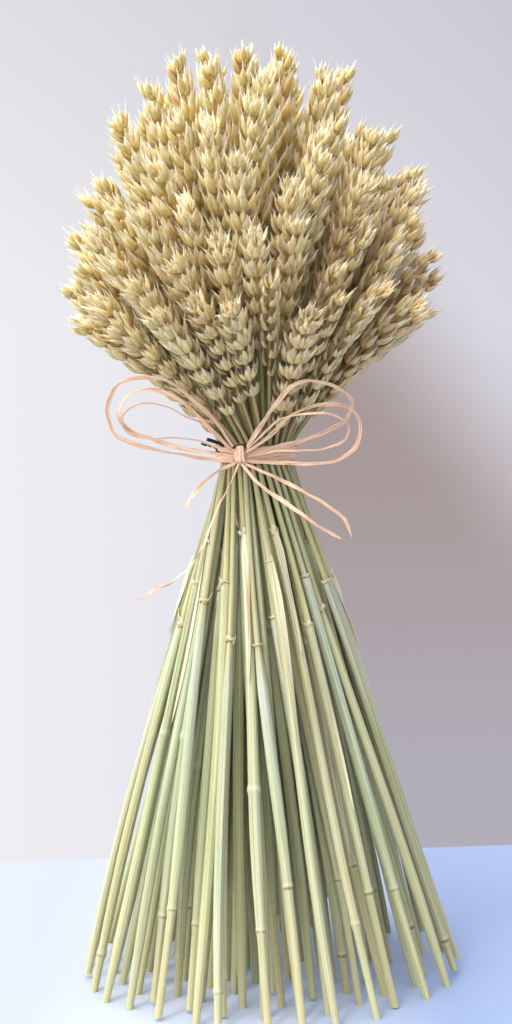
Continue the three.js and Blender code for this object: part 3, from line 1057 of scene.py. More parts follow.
    def _painted_gap_shade(self, middle: Point, away: Point, up: Point, others: Point) -> float:
        """Returns how much painted shade darkens a husk, by how far it is shut in by the ears that it faces.

        Args:
            middle: The husk's middle.
            away: From the ear's centre line to the husk.
            up: The way that the ear grows.
            others: Points on the other ears' centre lines.

        Returns:
            A share from 0 in the open to 1 in a gap.
        """
        facing = unit(away - away.dot(up) * up)
        gaps = others - middle
        far = np.linalg.norm(gaps, axis=1)
        closed = np.exp(-((far / self.painted_shade_reach) ** 2)) * np.maximum(gaps @ facing / far, 0)
        return min(1.0, float(np.sum(closed)) / self.painted_shade_full)

    @staticmethod
    def _fit(co: Point, up: Point, shape: HuskShape, size: float) -> float:
        """Returns how much a husk must shrink for its tip to stay inside the CAD box.

        Args:
            co: The husk's base.
            up: The way that it grows.
            shape: Its shape.
            size: Its size so far.

        Returns:
            A factor from 0.3 to 1.
        """
        low, high = (np.array(corner) for corner in CAD_BOX)
        tip = co + up * (shape.length + shape.beak) * 1.06 * size
        over = np.maximum(np.maximum(tip - high, low - tip) + 0.9 * MM, 0)
        return max(0.3, 1 - float(np.max(over)) / ((shape.length + shape.beak) * size * 0.6))

    @staticmethod
    def _tan_and_painted_shade(co: Point, height: float, kind: Husk) -> float:
        """Returns how tan a husk is and how much painted shade darkens its crevices: more so low in the head and on its
        right side, low on its ear and on the outer husks.

        Args:
            co: The husk's base.
            height: How far up the ear it sits, from 0 to 1.
            kind: Its kind.

        Returns:
            A share from 0 to 0.8.
        """
        low = 1 - (float(co[2]) - 0.29) / 0.15 + 0.55 * float(co[0] + 0.02) / 0.1
        outer = 0.15 if kind is Husk.GLUME else -0.12
        return max(0.0, min(0.8, 0.62 * low + 0.32 * (1 - height) + outer))

    def _basis(self, stalk: Stalk, along: float, turn: float) -> np.ndarray:
        """Returns the columns out, side and up at a place on an ear.

        Args:
            stalk: The stalk.
            along: The share of its upper curve.
            turn: Which way the spikelet faces round the ear.

        Returns:
            A 3 by 3 array.
        """
        up = stalk.heading(along)
        outward = np.array([math.cos(stalk.angle), math.sin(stalk.angle), 0.0])
        first = unit(outward - outward.dot(up) * up)
        out = math.cos(turn) * first + math.sin(turn) * np.cross(up, first)
        return np.stack([out, np.cross(up, out), up], axis=1)

    def _foot_margin(self, stalk: Stalk) -> float:
        """Returns how far above its lower end an ear's first spikelet sits: more so where the head parts in front.

        Args:
            stalk: The ear's stalk.

        Returns:
            A length in metres.
        """
        aside = (stalk.angle - self.parting + math.pi) % (2 * math.pi) - math.pi
        parted = math.exp(-((aside / self.parting_width) ** 2)) * stalk.ring / LAST_RING
        return self.foot_margin + self.bare_foot * (0.55 * draw(stalk.index, 16) ** 2 + parted)

    def _ear(self, stalk: Stalk, lines: dict[int, Point]) -> list[dict]:
        """Lays out one ear.

        Args:
            stalk: Its stalk.
            lines: Sampled points on every ear's centre line, by stalk.

        Returns:
            One point for each husk.
        """
        points: list[dict] = []
        foot_margin = self._foot_margin(stalk)
        usable = stalk.ear_length - foot_margin - self.tip_margin
        count = int(usable / self.pitch)
        row_turn = stalk.roll + (stalk.flip * math.pi / 2 + math.pi / 4 if stalk.ring < self.outer_row_ring else 0.0)
        others = np.concatenate([line for k, line in lines.items() if k != stalk.index])
        for k in range(count + 1):
            share = k / count
            along = lerp(stalk.ear_from, 1, (foot_margin + usable * share) / stalk.ear_length)
            turn = row_turn + math.pi * (k % 2) + 0.12 * swing(stalk.index, 40 + k)
            basis = self._basis(stalk, along, turn)
            centre = stalk.upper(along)
            room = float(np.min(np.linalg.norm(others - centre, axis=1))) / 2 / self.roominess
            full = min(1.0, 0.74 + 1.5 * share) * (1 - 0.32 * max(0.0, (share - 0.55) / 0.45) ** 1.3)
            scale = max(self.sizes[0], min(self.sizes[1], room)) * full
            foot = centre + basis[:, 0] * self.stalk_offset
            points += self._spikelet(stalk, self.FAN, foot, basis, scale, k, share, others)
        along = lerp(stalk.ear_from, 1, 1 - self.tip_margin / stalk.ear_length)
        basis = self._basis(stalk, along, row_turn + math.pi / 2)
        wide = 0.74 + 0.1 * (1 - stalk.ring / LAST_RING)
        fan = self.END_FAN + (self.LONG_AWNS if draw(stalk.index, 14) < self.awned else ())
        points += self._spikelet(stalk, fan, stalk.upper(along), basis, wide, count + 1, 1.0, others)
        return points

    def build(self) -> None:
        """Builds the ears of every stalk node and dresses them."""
        shapes = [self.SHAPES[kind].make(f"husk_{kind.value}") for kind in Husk]
        scatter = Scatter("husks", shapes, self.finishes.husk)
        stalks = [stalk for group in self.field_groups.values() for stalk in group]
        lines = {
            stalk.index: np.array([stalk.upper(lerp(stalk.ear_from, 1, s)) for s in np.linspace(0, 1, 24)])
            for stalk in stalks
        }
        for node, group in self.field_groups.items():
            points = [point for stalk in group for point in self._ear(stalk, lines)]
            show(scatter.sow(node.replace("stalk", "ear"), points), "straw", node)
        scatter.clear()


# ---------------------------------------------------------------- stems


@dataclass(frozen=True)
class StemPlan:
    """One stem's thickness: a bare foot, a joint, a wrapped stretch, and a thin bare neck above the torn rim."""

    stalk: Stalk
    length: float
    joint: float | None
    faint: float | None
    rim: float | None
    stout: float

    BARE = 1.95 * MM
    WRAPPED = (2.85 * MM, 2.3 * MM)
    WRAPPED_FOOT = 1.9 * MM
    WRAPPED_NECK = 1.4 * MM
    JOINT = 2.25 * MM
    NECK = (1.6 * MM, 1.18 * MM)
    EAR = 0.8 * MM
    BEND = 2.8 * MM
    BLOOM = 95 * MM

    @staticmethod
    def of(stalk: Stalk) -> "StemPlan":
        """Draws one stem's plan.

        Args:
            stalk: The stem's stalk.

        Returns:
            The plan.
        """
        k = stalk.index
        return StemPlan(
            stalk=stalk,
            length=float(np.linalg.norm(stalk.low - stalk.foot)),
            joint=lerp(0.03, 0.24, draw(k, 31)) if draw(k, 30) < 0.42 else None,
            faint=lerp(0.4, 0.52, draw(k, 33)) if draw(k, 32) < 0.16 else None,
            rim=lerp(0.64, 0.88, draw(k, 35)) if draw(k, 34) < 0.8 else None,
            stout=1 + 0.14 * swing(k, 36),
        )

    def place(self, share: float) -> Point:
        """Returns a point on the stem's middle line, with its slight bend.

        Args:
            share: The share of the way from the foot to the tie.

        Returns:
            The point.
        """
        k = self.stalk.index
        bend = math.sin(math.pi * share) * self.BEND * np.array([swing(k, 41), swing(k, 42), 0.0])
        wave = math.sin(2 * math.pi * share) * 0.5 * self.BEND * np.array([swing(k, 43), swing(k, 44), 0.0])
        return self.stalk.foot + (self.stalk.low - self.stalk.foot) * share + bend + wave

    def radius(self, share: float) -> float:
        """Returns the stem's radius.

        Args:
            share: The share of the way from the foot to the tie.

        Returns:
            The radius in metres.
        """
        if self.joint is not None and share < self.joint:
            return self.BARE * lerp(1.0, 1.06, share / self.joint)
        if self.rim is not None and share > self.rim:
            return lerp(*self.NECK, (share - self.rim) / (1 - self.rim))
        bottom = self.joint or 0.0
        top = self.rim or 1.0
        thick = lerp(*self.WRAPPED, (share - bottom) / (top - bottom)) * self.stout
        start = self.WRAPPED_FOOT if self.joint is None else self.JOINT
        thick = lerp(start, thick, min(1.0, (share - bottom) / 0.14))
        if self.rim is None:
            thick = lerp(thick, self.WRAPPED_NECK, max(0.0, (share - 0.6) / 0.4) ** 1.4)
        return thick

    def wrapped(self, share: float) -> float:
        """Returns 1 where a leaf sheath wraps the stem and 0 where it is bare."""
        return float(share >= (self.joint or 0.0) and share <= (self.rim or 1.0))

    def bloom(self, share: float) -> float:
        """Returns how much of the grey waxy bloom lies on the sheath: most just below the torn rim.

        Args:
            share: The share of the way from the foot to the tie.

        Returns:
            A share from 0 to 1.
        """
        if self.rim is None or share > self.rim:
            return 0.0
        much = max(0.0, 1.6 * draw(self.stalk.index, 48) - 0.6)
        return much * max(0.0, 1 - (self.rim - share) * self.length / self.BLOOM)


@dataclass
class Stems:
    """The stems: tubes along the stalks' lines, with swollen joints, and hollow ends cut level."""

    field_groups: dict[str, list[Stalk]]
    finishes: Finishes
    sides: int = 14
    joint_swell: float = 0.2
    joint_half: float = 0.9 * MM
    step: float = 0.35 * MM
    wall: float = 0.45 * MM
    unit_length: float = 0.1
    ear_reach: float = 0.86
    pit: float = 3 * MM

    def _shares(self, plan: StemPlan) -> list[float]:
        """Returns the places of a stem's rings between foot and tie.

        Args:
            plan: The stem's plan.

        Returns:
            Shares of the way, in order.
        """
        shares = {round(float(share), 5) for share in np.linspace(0, 1, 13)}
        for joint in (plan.joint, plan.faint):
            if joint is not None:
                for step in (-3.2, -1.3, -0.5, 0.0, 0.5, 1.3, 3.2):
                    shares.add(round(joint + step * self.joint_half / plan.length, 5))
        if plan.rim is not None:
            shares |= {round(plan.rim, 5), round(plan.rim + 2 * self.step / plan.length, 5)}
        return sorted(shares)

    @staticmethod
    def _shadow(ring: int, share: float) -> float:
        """Returns how much painted shade darkens the inner stems, which are shut in between the outer ones."""
        return 0.7 * max(0.0, 1 - ring / 5.2) * min(1.0, max(0.0, share - 0.2) / 0.35)

    def _line(self, stalk: Stalk) -> list[dict]:
        """Lays out a stem's centre line.

        Args:
            stalk: The stalk.

        Returns:
            Its stations from the foot to inside the ear, with radius and colours.
        """
        plan = StemPlan.of(stalk)
        turn = 2 * math.pi * draw(stalk.index, 47)
        stations = []
        for share in self._shares(plan):
            radius = plan.radius(share)
            joint = 0.0
            for place, dark in ((plan.joint, lerp(0.3, 0.9, draw(stalk.index, 45))), (plan.faint, 0.3)):
                if place is not None:
                    near = abs(share - place) * plan.length / self.joint_half
                    radius *= 1 + self.joint_swell * max(0.0, 1 - (near / 2.2) ** 2)
                    joint = max(joint, dark * max(0.0, 1 - near / 2.2))
            stations.append({
                "co": plan.place(share),
                "radius": radius,
                "joint": joint,
                "wrapped": plan.wrapped(share),
                "bloom": plan.bloom(share),
                # Painted shade: darker on the inner stems and just below the tie.
                "shadow": max(0.35 * max(0.0, share - 0.86) / 0.14, self._shadow(stalk.ring, share)),
                "ear": 0.0,
                "along": share * plan.length / self.unit_length,
                "tilt": turn + 0.9 * share * swing(stalk.index, 46),
            })
        for share in np.linspace(0, 1, 9):
            along = lerp(0.0, lerp(stalk.ear_from, 1, self.ear_reach), float(share))
            inside = along > stalk.ear_from
            stations.append({
                "co": stalk.upper(along),
                "radius": plan.EAR if inside else lerp(plan.NECK[1], plan.EAR, along / stalk.ear_from),
                "joint": 0.0,
                "wrapped": 0.0,
                "bloom": 0.0,
                # Painted shade on the neck between the tie and the ear.
                "shadow": 0.0 if inside else 0.5,
                "ear": float(inside),
                "along": (plan.length + along * stalk.upper_length) / self.unit_length,
                "tilt": turn,
            })
        for station in stations:
            station["tint"] = draw(stalk.index, 12)
        return stations

    @staticmethod
    def _tree() -> GeometryTree:
        """Returns the tree that sweeps a tube along each line."""
        tree = GeometryTree("stem_tree", {"Sides": "NodeSocketInt"})
        curve = tree.node("GeometryNodeMeshToCurve", {"Mesh": tree.source["Geometry"]}).outputs[0]
        turned = tree.node("GeometryNodeSetCurveTilt", {"Curve": curve, "Tilt": tree.named("tilt", "FLOAT")}).outputs[0]
        ring = tree.node("GeometryNodeCurvePrimitiveCircle", {"Resolution": tree.source["Sides"], "Radius": 1.0})
        factor = tree.node("GeometryNodeSplineParameter").outputs["Factor"]
        stored = tree.store("around", ring.outputs[0], factor)
        lapped = tree.node(
            "ShaderNodeVectorMath",
            {
                0: tree.node("GeometryNodeInputPosition").outputs[0],
                "Scale": tree.math("MULTIPLY_ADD", tree.named("around", "FLOAT"), 0.13, 0.92),
            },
            operation="SCALE",
        )
        section = tree.node("GeometryNodeSetPosition", {"Geometry": stored, "Position": lapped.outputs[0]}).outputs[0]
        tree.close(tree.sweep(turned, section, tree.named("radius", "FLOAT")))
        return tree

    def _hollow(self, piece: bpy.types.Object, group: list[Stalk]) -> None:
        """Cuts each foot level and hollows its end.

        Args:
            piece: The stems' object.
            group: The stalks that it holds.
        """
        mesh = bmesh.new()
        mesh.from_mesh(piece.data)
        for stalk in group:
            slope = Vector(unit(stalk.low - stalk.foot))
            foot = Vector(stalk.foot)
            caps = [
                face for face in mesh.faces
                if len(face.verts) == self.sides and (face.calc_center_median() - foot).length < 1 * MM
            ]
            for corner in caps[0].verts:
                corner.co += slope * ((foot.z - corner.co.z) / slope.z)
            bmesh.ops.inset_individual(mesh, faces=caps, thickness=self.wall, depth=0.0)
            for corner in caps[0].verts:
                corner.co.z = foot.z
            pit = bmesh.ops.extrude_discrete_faces(mesh, faces=caps)["faces"]
            bmesh.ops.translate(mesh, verts=pit[0].verts, vec=slope * self.pit)
        mesh.to_mesh(piece.data)
        mesh.free()

    def build(self) -> None:
        """Builds the stems of every stalk node and dresses them."""
        tree = self._tree()
        for node, group in self.field_groups.items():
            lines = [self._line(stalk) for stalk in group]
            seedling = line_object(f"{node}_lines", lines)
            piece = tree.grow(
                node.replace("stalk", "stem"), seedling, {"Sides": self.sides, "Finish": self.finishes.stem}
            )
            self._hollow(piece, group)
            show(piece, "straw", node)


@dataclass
class Rims:
    """The torn, papery rims where the leaf sheaths end."""

    field_groups: dict[str, list[Stalk]]
    finishes: Finishes
    variants: int = 5
    sides: int = 14
    inner: float = 2.0 * MM
    paper: float = 0.22 * MM

    def _shape(self, variant: int) -> bpy.types.Object:
        """Makes one torn rim round the Z axis.

        Args:
            variant: Its number, for its random draws.

        Returns:
            The rim as an object that Geometry Nodes repeat.
        """
        rows: list[list[tuple]] = []
        for wall in (self.paper, 0.0):
            sheet: list[list[tuple]] = [[], [], [], []]
            for k in range(self.sides):
                torn = draw(k, 70 + variant)
                high = 0.2 + 1.6 * torn + (4.2 * draw(k, 80 + variant) if torn > 0.78 else 0.0)
                flare = 0.1 + 0.9 * draw(k, 90 + variant) * min(1.0, high / 3)
                hem = -0.4 - 2.6 * draw(k, 100 + variant) ** 2
                places = ((-0.3, hem), (0.05 * torn, 0.6 * hem), (0.15 * torn, 0.0), (flare, high))
                for row, (out, up) in zip(sheet, places):
                    row.append((self.inner + out * MM + wall, up * MM))
            rows += sheet if wall else list(reversed(sheet))
        corners = []
        for row in rows:
            for k, (radius, up) in enumerate(row):
                angle = 2 * math.pi * k / self.sides
                corners.append((radius * math.cos(angle), radius * math.sin(angle), up))
        faces = []
        count = len(rows)
        for row in range(count):
            for k in range(self.sides):
                right = (k + 1) % self.sides
                below = row * self.sides
                above = (row + 1) % count * self.sides
                faces.append((below + k, below + right, above + right, above + k))
        made = mesh_object(f"rim_{variant}", corners, faces)
        write_attribute(made.data, "along", "FLOAT", [corner[2] / (4 * MM) for corner in corners])
        write_attribute(made.data, "around", "FLOAT", [k / 3 for _ in rows for k in range(self.sides)])
        stains = [max(0.0, 1 - abs(corner[2] + 0.3 * MM) / MM) for corner in corners]
        specks = [0.2 + 0.8 * draw(k, 110 + variant) for _ in rows for k in range(self.sides)]
        write_attribute(made.data, "stain", "FLOAT", [stain * speck for stain, speck in zip(stains, specks)])
        return made

    def build(self) -> None:
        """Builds every rim as one piece."""
        scatter = Scatter("rims", [self._shape(k) for k in range(self.variants)], self.finishes.sheath)
        points = []
        for group in self.field_groups.values():
            for stalk in group:
                plan = StemPlan.of(stalk)
                if plan.rim is None:
                    continue
                slope = Vector(stalk.low - stalk.foot).normalized()
                turn = slope.to_track_quat("Z", "X") @ Euler((0, 0, 6.28 * draw(stalk.index, 37))).to_quaternion()
                wide = plan.radius(plan.rim) / self.inner * 1.02
                points.append({
                    "co": plan.place(plan.rim),
                    "turn": tuple(turn.to_euler("XYZ")),
                    "size": (wide, wide, lerp(0.5, 1.5, draw(stalk.index, 38) ** 1.5)),
                    "kind": int(draw(stalk.index, 39) * self.variants) % self.variants,
                    "shade": draw(stalk.index, 40),
                })
        show(scatter.sow("torn_rims", points), "straw")
        scatter.clear()


@dataclass
class LeafStrips:
    """Torn strips of leaf sheath that lie along the outer stems and end in a loose point."""

    field_groups: dict[str, list[Stalk]]
    finishes: Finishes
    share: float = 0.34
    gap: float = 1.9 * MM
    paper: float = 0.3 * MM
    usual_width: float = 3.4 * MM
    unit_length: float = 0.1

    def _strip(self, stalk: Stalk) -> list[dict]:
        """Lays out one strip, from a torn rim down to its loose end.

        Args:
            stalk: The stalk that it grew on.

        Returns:
            Its stations, with across and width for the ribbon tree.
        """
        plan = StemPlan.of(stalk)
        k = stalk.index
        top = (plan.rim or 0.8) + 0.01
        bottom = top - lerp(0.12, 0.42, draw(k, 61) ** 1.4)
        width = lerp(2.6, 4.4, draw(k, 62)) * MM
        slope = unit(stalk.low - stalk.foot)
        stations = []
        for step in np.linspace(0, 1, 16):
            share = lerp(top, bottom, float(step))
            place = plan.place(share)
            turn = math.atan2(place[1], place[0]) + 0.5 * swing(k, 63) + 0.5 * swing(k, 64) * step
            out = np.array([math.cos(turn), math.sin(turn), 0.0])
            out = unit(out - out.dot(slope) * slope)
            lift = plan.radius(min(share, top - 0.02)) + self.gap * (0.25 + 0.75 * step**3) - 0.5 * MM
            curl = 0.7 * math.sin(2.5 * step + k)
            across = math.cos(curl) * np.cross(slope, out) + math.sin(curl) * out
            narrow = min(1.0, 0.25 + 4 * step) * (1 - step**3) ** 0.7 + 0.06
            stations.append({
                "co": place + out * lift,
                "across": across,
                "width": width * narrow,
                "along": share * plan.length / self.unit_length,
                "shade": draw(k, 65),
                "stain": 0.0,
            })
        return stations

    def build(self) -> None:
        """Builds every strip as one piece."""
        lines = [
            self._strip(stalk)
            for group in self.field_groups.values() for stalk in group
            if stalk.ring >= 5 and draw(stalk.index, 60) < self.share
        ]
        seedling = line_object("strip_lines", lines)
        values = {"Thickness": self.paper / self.usual_width, "Finish": self.finishes.sheath}
        show(ribbon_tree().grow("leaf_strips", seedling, values), "straw")


# ---------------------------------------------------------------- raffia and wire


def smooth_route(points: Sequence[Sequence[float]], spacing: float) -> Point:
    """Follows a centripetal Catmull-Rom curve through points, as the CAD source does.

    Args:
        points: The route's points in millimetres.
        spacing: The distance between the returned points, in metres.

    Returns:
        Evenly spaced points in metres.
    """
    known = np.array(points, float) * MM
    known = np.concatenate([[2 * known[0] - known[1]], known, [2 * known[-1] - known[-2]]])
    dense = []
    for k in range(1, len(known) - 2):
        p0, p1, p2, p3 = known[k - 1 : k + 3]
        d0, d1, d2 = (max(1e-6, float(np.linalg.norm(b - a)) ** 0.5) for a, b in ((p0, p1), (p1, p2), (p2, p3)))
        t1 = ((p1 - p0) / d0 - (p2 - p0) / (d0 + d1) + (p2 - p1) / d1) * d1
        t2 = ((p2 - p1) / d1 - (p3 - p1) / (d1 + d2) + (p3 - p2) / d2) * d1
        for s in np.linspace(0, 1, 24, endpoint=False):
            dense.append(
                (2 * s**3 - 3 * s**2 + 1) * p1 + (s**3 - 2 * s**2 + s) * t1
                + (-2 * s**3 + 3 * s**2) * p2 + (s**3 - s**2) * t2
            )
    dense.append(known[-2])
    line = np.array(dense)
    arc = np.concatenate([[0], np.cumsum(np.linalg.norm(np.diff(line, axis=0), axis=1))])
    wanted = np.linspace(0, arc[-1], max(8, round(arc[-1] / spacing)))
    return np.stack([np.interp(wanted, arc, line[:, axis]) for axis in range(3)], axis=1)


@dataclass(frozen=True)
class Strand:
    """One strand of the bow: a loop from knot to knot, or a tail with a loose end."""

    name: str
    width: float
    far_end: str
    points: tuple
    node: str | None = None
    twist: float = 0.6


@dataclass
class Bow:
    """The raffia: a band of several wraps, the knot over it, the bow's loops and its tails."""

    finishes: Finishes
    neck_height: float = 270.0
    band_radius: float = 20.15
    band_height: float = 3.4
    knot_angle: float = math.radians(-109)
    knot_radius: float = 23.2
    thickness: float = 0.4 * MM
    spacing: float = 1.2 * MM
    wraps: int = 7
    wrap_stations: int = 96
    turn_stations: int = 28
    unit_length: float = 0.02
    tree: GeometryTree = field(init=False)

    LOOPS = (
        Strand("raffia_loop_left_wide", 2.3 * MM, "object", (
            (-11.2, -23, 274.3), (-19, -30, 287), (-31, -41, 301), (-42, -48, 309), (-54, -48, 311), (-65, -43, 308),
            (-72, -36, 295), (-69, -31, 282), (-52, -27, 275), (-32, -25, 270), (-11.2, -23, 267.3),
        ), "raffia_loop_left_outer"),
        Strand("raffia_loop_left_second", 2.3 * MM, "object", (
            (-11.2, -23, 271.6), (-19, -29, 281), (-31, -38, 295), (-43, -41, 303), (-54, -41, 304.5), (-63, -38, 300),
            (-66.5, -33, 291), (-62, -29, 284), (-49, -26, 278.5), (-30, -24.5, 273), (-11.2, -23, 269.4),
        ), "raffia_loop_left_inner"),
        Strand("raffia_loop_right_wide", 2.2 * MM, "object", (
            (-4.1, -23.4, 271.6), (8, -32, 280), (22, -42, 292), (37, -41, 295.5), (49, -35, 291.5), (53, -33, 283),
            (50, -31, 273), (42, -29, 267.5), (27, -27, 265), (10, -25, 266), (-4.1, -23.4, 267.3),
        ), "raffia_loop_right_outer"),
        Strand("raffia_loop_right_second", 2.5 * MM, "object", (
            (-4.1, -23.4, 273.9), (3, -35, 284), (12, -50, 297), (23, -58, 306.5), (34.5, -57, 307), (43, -52, 303),
            (48.5, -44, 296), (45, -37, 287), (35, -31, 281), (17, -27, 275.5), (-4.1, -23.4, 269.4),
        ), "raffia_loop_right_inner"),
    )
    THIN_LOOPS = (
        Strand("raffia_loop_left_thin", 1.1 * MM, "object", (
            (-11.6, -23.4, 273), (-22.7, -30, 284.9), (-33.1, -36, 291), (-40.8, -40, 295.5), (-48.7, -43, 297.6),
            (-56.8, -44, 297.4), (-63.5, -42, 292.9), (-64.7, -38, 286.4), (-60.2, -34, 281.9), (-51.3, -31, 280.3),
            (-37.7, -28, 279.4), (-25, -25.8, 277), (-11.6, -23.4, 271.5),
        )),
        Strand("raffia_loop_right_thin", 1.2 * MM, "object", (
            (-4, -24, 273), (6, -36, 282.3), (14.7, -48, 289.1), (23, -55, 291.4), (33.7, -58, 291.9),
            (41.7, -56, 289.6), (47, -50, 284.4), (45.1, -44, 277.8), (36.9, -38, 273.9), (24, -33, 272.4),
            (10.2, -29, 271.6), (-4, -24, 269.5),
        )),
    )
    TAILS = (
        Strand("raffia_tail_left_stub", 2.2 * MM, "bare", (
            (-10, -24.2, 266), (-17, -28, 263.5), (-25, -32, 258), (-31.5, -34, 251), (-36, -34, 244),
        ), "raffia_tail_left_short"),
        Strand("raffia_tail_left_trailing", 1.5 * MM, "bare", (
            (-8.4, -24.9, 265.9), (-12, -29, 257.5), (-18, -35, 246), (-24, -41, 232), (-31, -45, 219),
            (-41, -46, 210), (-52, -44, 205), (-62, -41, 199),
        ), "raffia_tail_left_long", 1.4),
        Strand("raffia_tail_right_high", 2.0 * MM, "bare", (
            (-4.9, -24.3, 265.4), (4, -28, 262), (18, -34, 255), (35, -38, 246), (44, -38, 238), (47, -37, 229),
        ), "raffia_tail_right_upper"),
        Strand("raffia_tail_right_low", 2.2 * MM, "bare", (
            (-6.7, -24.9, 265.6), (1, -30, 257), (13, -37, 248), (28, -42, 238), (42, -42, 229),
        ), "raffia_tail_right_lower"),
    )

    def __post_init__(self) -> None:
        """Lays out the tree that all strands use."""
        self.tree = ribbon_tree()

    def _ribbon(self, name: str, lines: Sequence[list[dict]], width: float, closed: bool = False) -> bpy.types.Object:
        """Sweeps ribbons along lines.

        Args:
            name: The piece's name.
            lines: One line of stations for each ribbon, with co, across and width.
            width: The ribbons' usual width, which sets their thickness.
            closed: Whether each line ends where it starts.

        Returns:
            The finished object.
        """
        for number, line in enumerate(lines):
            places = np.array([station["co"] for station in line])
            steps = np.concatenate([[0], np.cumsum(np.linalg.norm(np.diff(places, axis=0), axis=1))])
            for station, travelled in zip(line, steps):
                station["along"] = travelled / self.unit_length
                station["tint"] = (len(name) * 7 + number * 3) % 11 / 11
        seedling = line_object(f"{name}_lines", lines, closed)
        return self.tree.grow(name, seedling, {"Thickness": self.thickness / width, "Finish": self.finishes.raffia})

    def _stations(self, line: Point, strand: Strand) -> list[dict]:
        """Turns a strand's line into stations that mostly show their broad side to the front.

        Args:
            line: The strand's points, in metres.
            strand: The strand.

        Returns:
            One station for each point.
        """
        heading = np.gradient(line, axis=0)
        stations = []
        for k, (co, ahead) in enumerate(zip(line, heading)):
            share = k / (len(line) - 1)
            ahead = unit(ahead)
            flat = unit(np.cross(ahead, (0.0, 1.0, 0.0)))
            turn = strand.twist * math.sin(7 * share + len(strand.name)) + 0.5 * strand.twist * math.sin(17 * share)
            across = math.cos(turn) * flat + math.sin(turn) * np.cross(ahead, flat)
            narrow = 1 - 0.65 * max(0.0, (share - 0.9) / 0.1) if strand.far_end == "bare" else 1.0
            pinch = 1 - 0.3 * math.exp(-share * 25)
            travelled = k * self.spacing / MM
            kink = math.sin(0.17 * travelled + len(strand.name)) + 0.4 * math.sin(0.43 * travelled + 3 * share)
            wide = strand.width * narrow * pinch * (0.92 + 0.16 * math.sin(0.2 * travelled + len(strand.name)))
            aside = flat * 0.28 * MM * kink * math.sin(math.pi * min(1.0, 4 * share) / 2)
            stations.append({"co": co + aside, "across": across, "width": wide})
        return stations

    def build_strands(self) -> None:
        """Builds the bow's loops and tails."""
        for strand in self.LOOPS + self.THIN_LOOPS + self.TAILS:
            line = smooth_route(strand.points, self.spacing)
            piece = self._ribbon(strand.name, [self._stations(line, strand)], strand.width)
            show(piece, "raffia", *([strand.node] if strand.node else []))

    def build_band(self) -> None:
        """Builds the band: flat wraps that lie over each other and draw together towards the knot."""
        lines = []
        for wrap in range(self.wraps):
            height = lerp(-self.band_height, self.band_height, wrap / (self.wraps - 1)) + 0.3 * swing(wrap, 50)
            radius = self.band_radius + 0.3 * draw(wrap, 52) + 0.28 * (wrap % 3)
            line = []
            for turn in np.linspace(0, 2 * math.pi, self.wrap_stations, endpoint=False):
                aside = (turn - self.knot_angle + math.pi) % (2 * math.pi) - math.pi
                near = math.exp(-((aside / 0.42) ** 2))
                up = height * (1 - 0.45 * near) + 0.7 * swing(wrap, 51) * math.sin(turn + 2 * wrap)
                away = radius + 0.9 * near
                line.append({
                    "co": np.array([away * math.cos(turn), away * math.sin(turn), self.neck_height + up]) * MM,
                    "across": (0.12 * math.cos(turn), 0.12 * math.sin(turn), 1.0),
                    "width": (2.7 + 0.3 * math.sin(3 * turn + wrap)) * (1 - 0.25 * near) * MM,
                })
            lines.append(line)
        show(self._ribbon("raffia_wraps", lines, 2.4 * MM, closed=True), "raffia", "raffia_band")

    def build_knot(self) -> None:
        """Builds the knot: short turns of ribbon over the band, side by side and a little askew."""
        out = np.array([math.cos(self.knot_angle), math.sin(self.knot_angle), 0.0])
        side = np.array([-out[1], out[0], 0.0])
        centre = out * self.knot_radius + np.array([0, 0, self.neck_height])
        turns = []
        for number, (shift, lean, deep, tall) in enumerate((
            (-1.5, 0.16, 1.8, 4.3), (1.5, -0.2, 1.8, 4.4), (0.1, -0.05, 2.3, 4.7), (-0.5, 0.42, 2.1, 3.9),
        )):
            line = []
            for turn in np.linspace(0, 2 * math.pi, self.turn_stations, endpoint=False):
                up = tall * math.sin(turn)
                away = deep * math.cos(turn) + 0.25 * math.cos(3 * turn + number)
                co = centre + side * (shift + lean * up) + out * away + np.array([0, 0, up])
                across = side - np.array([0, 0, lean]) + out * 0.25 * math.sin(turn + number)
                line.append({"co": co * MM, "across": unit(across), "width": (2.5 + 0.3 * math.sin(2 * turn)) * MM})
            turns.append(line)
        show(self._ribbon("raffia_tied_knot", turns, 2.0 * MM, closed=True), "raffia", "raffia_knot")


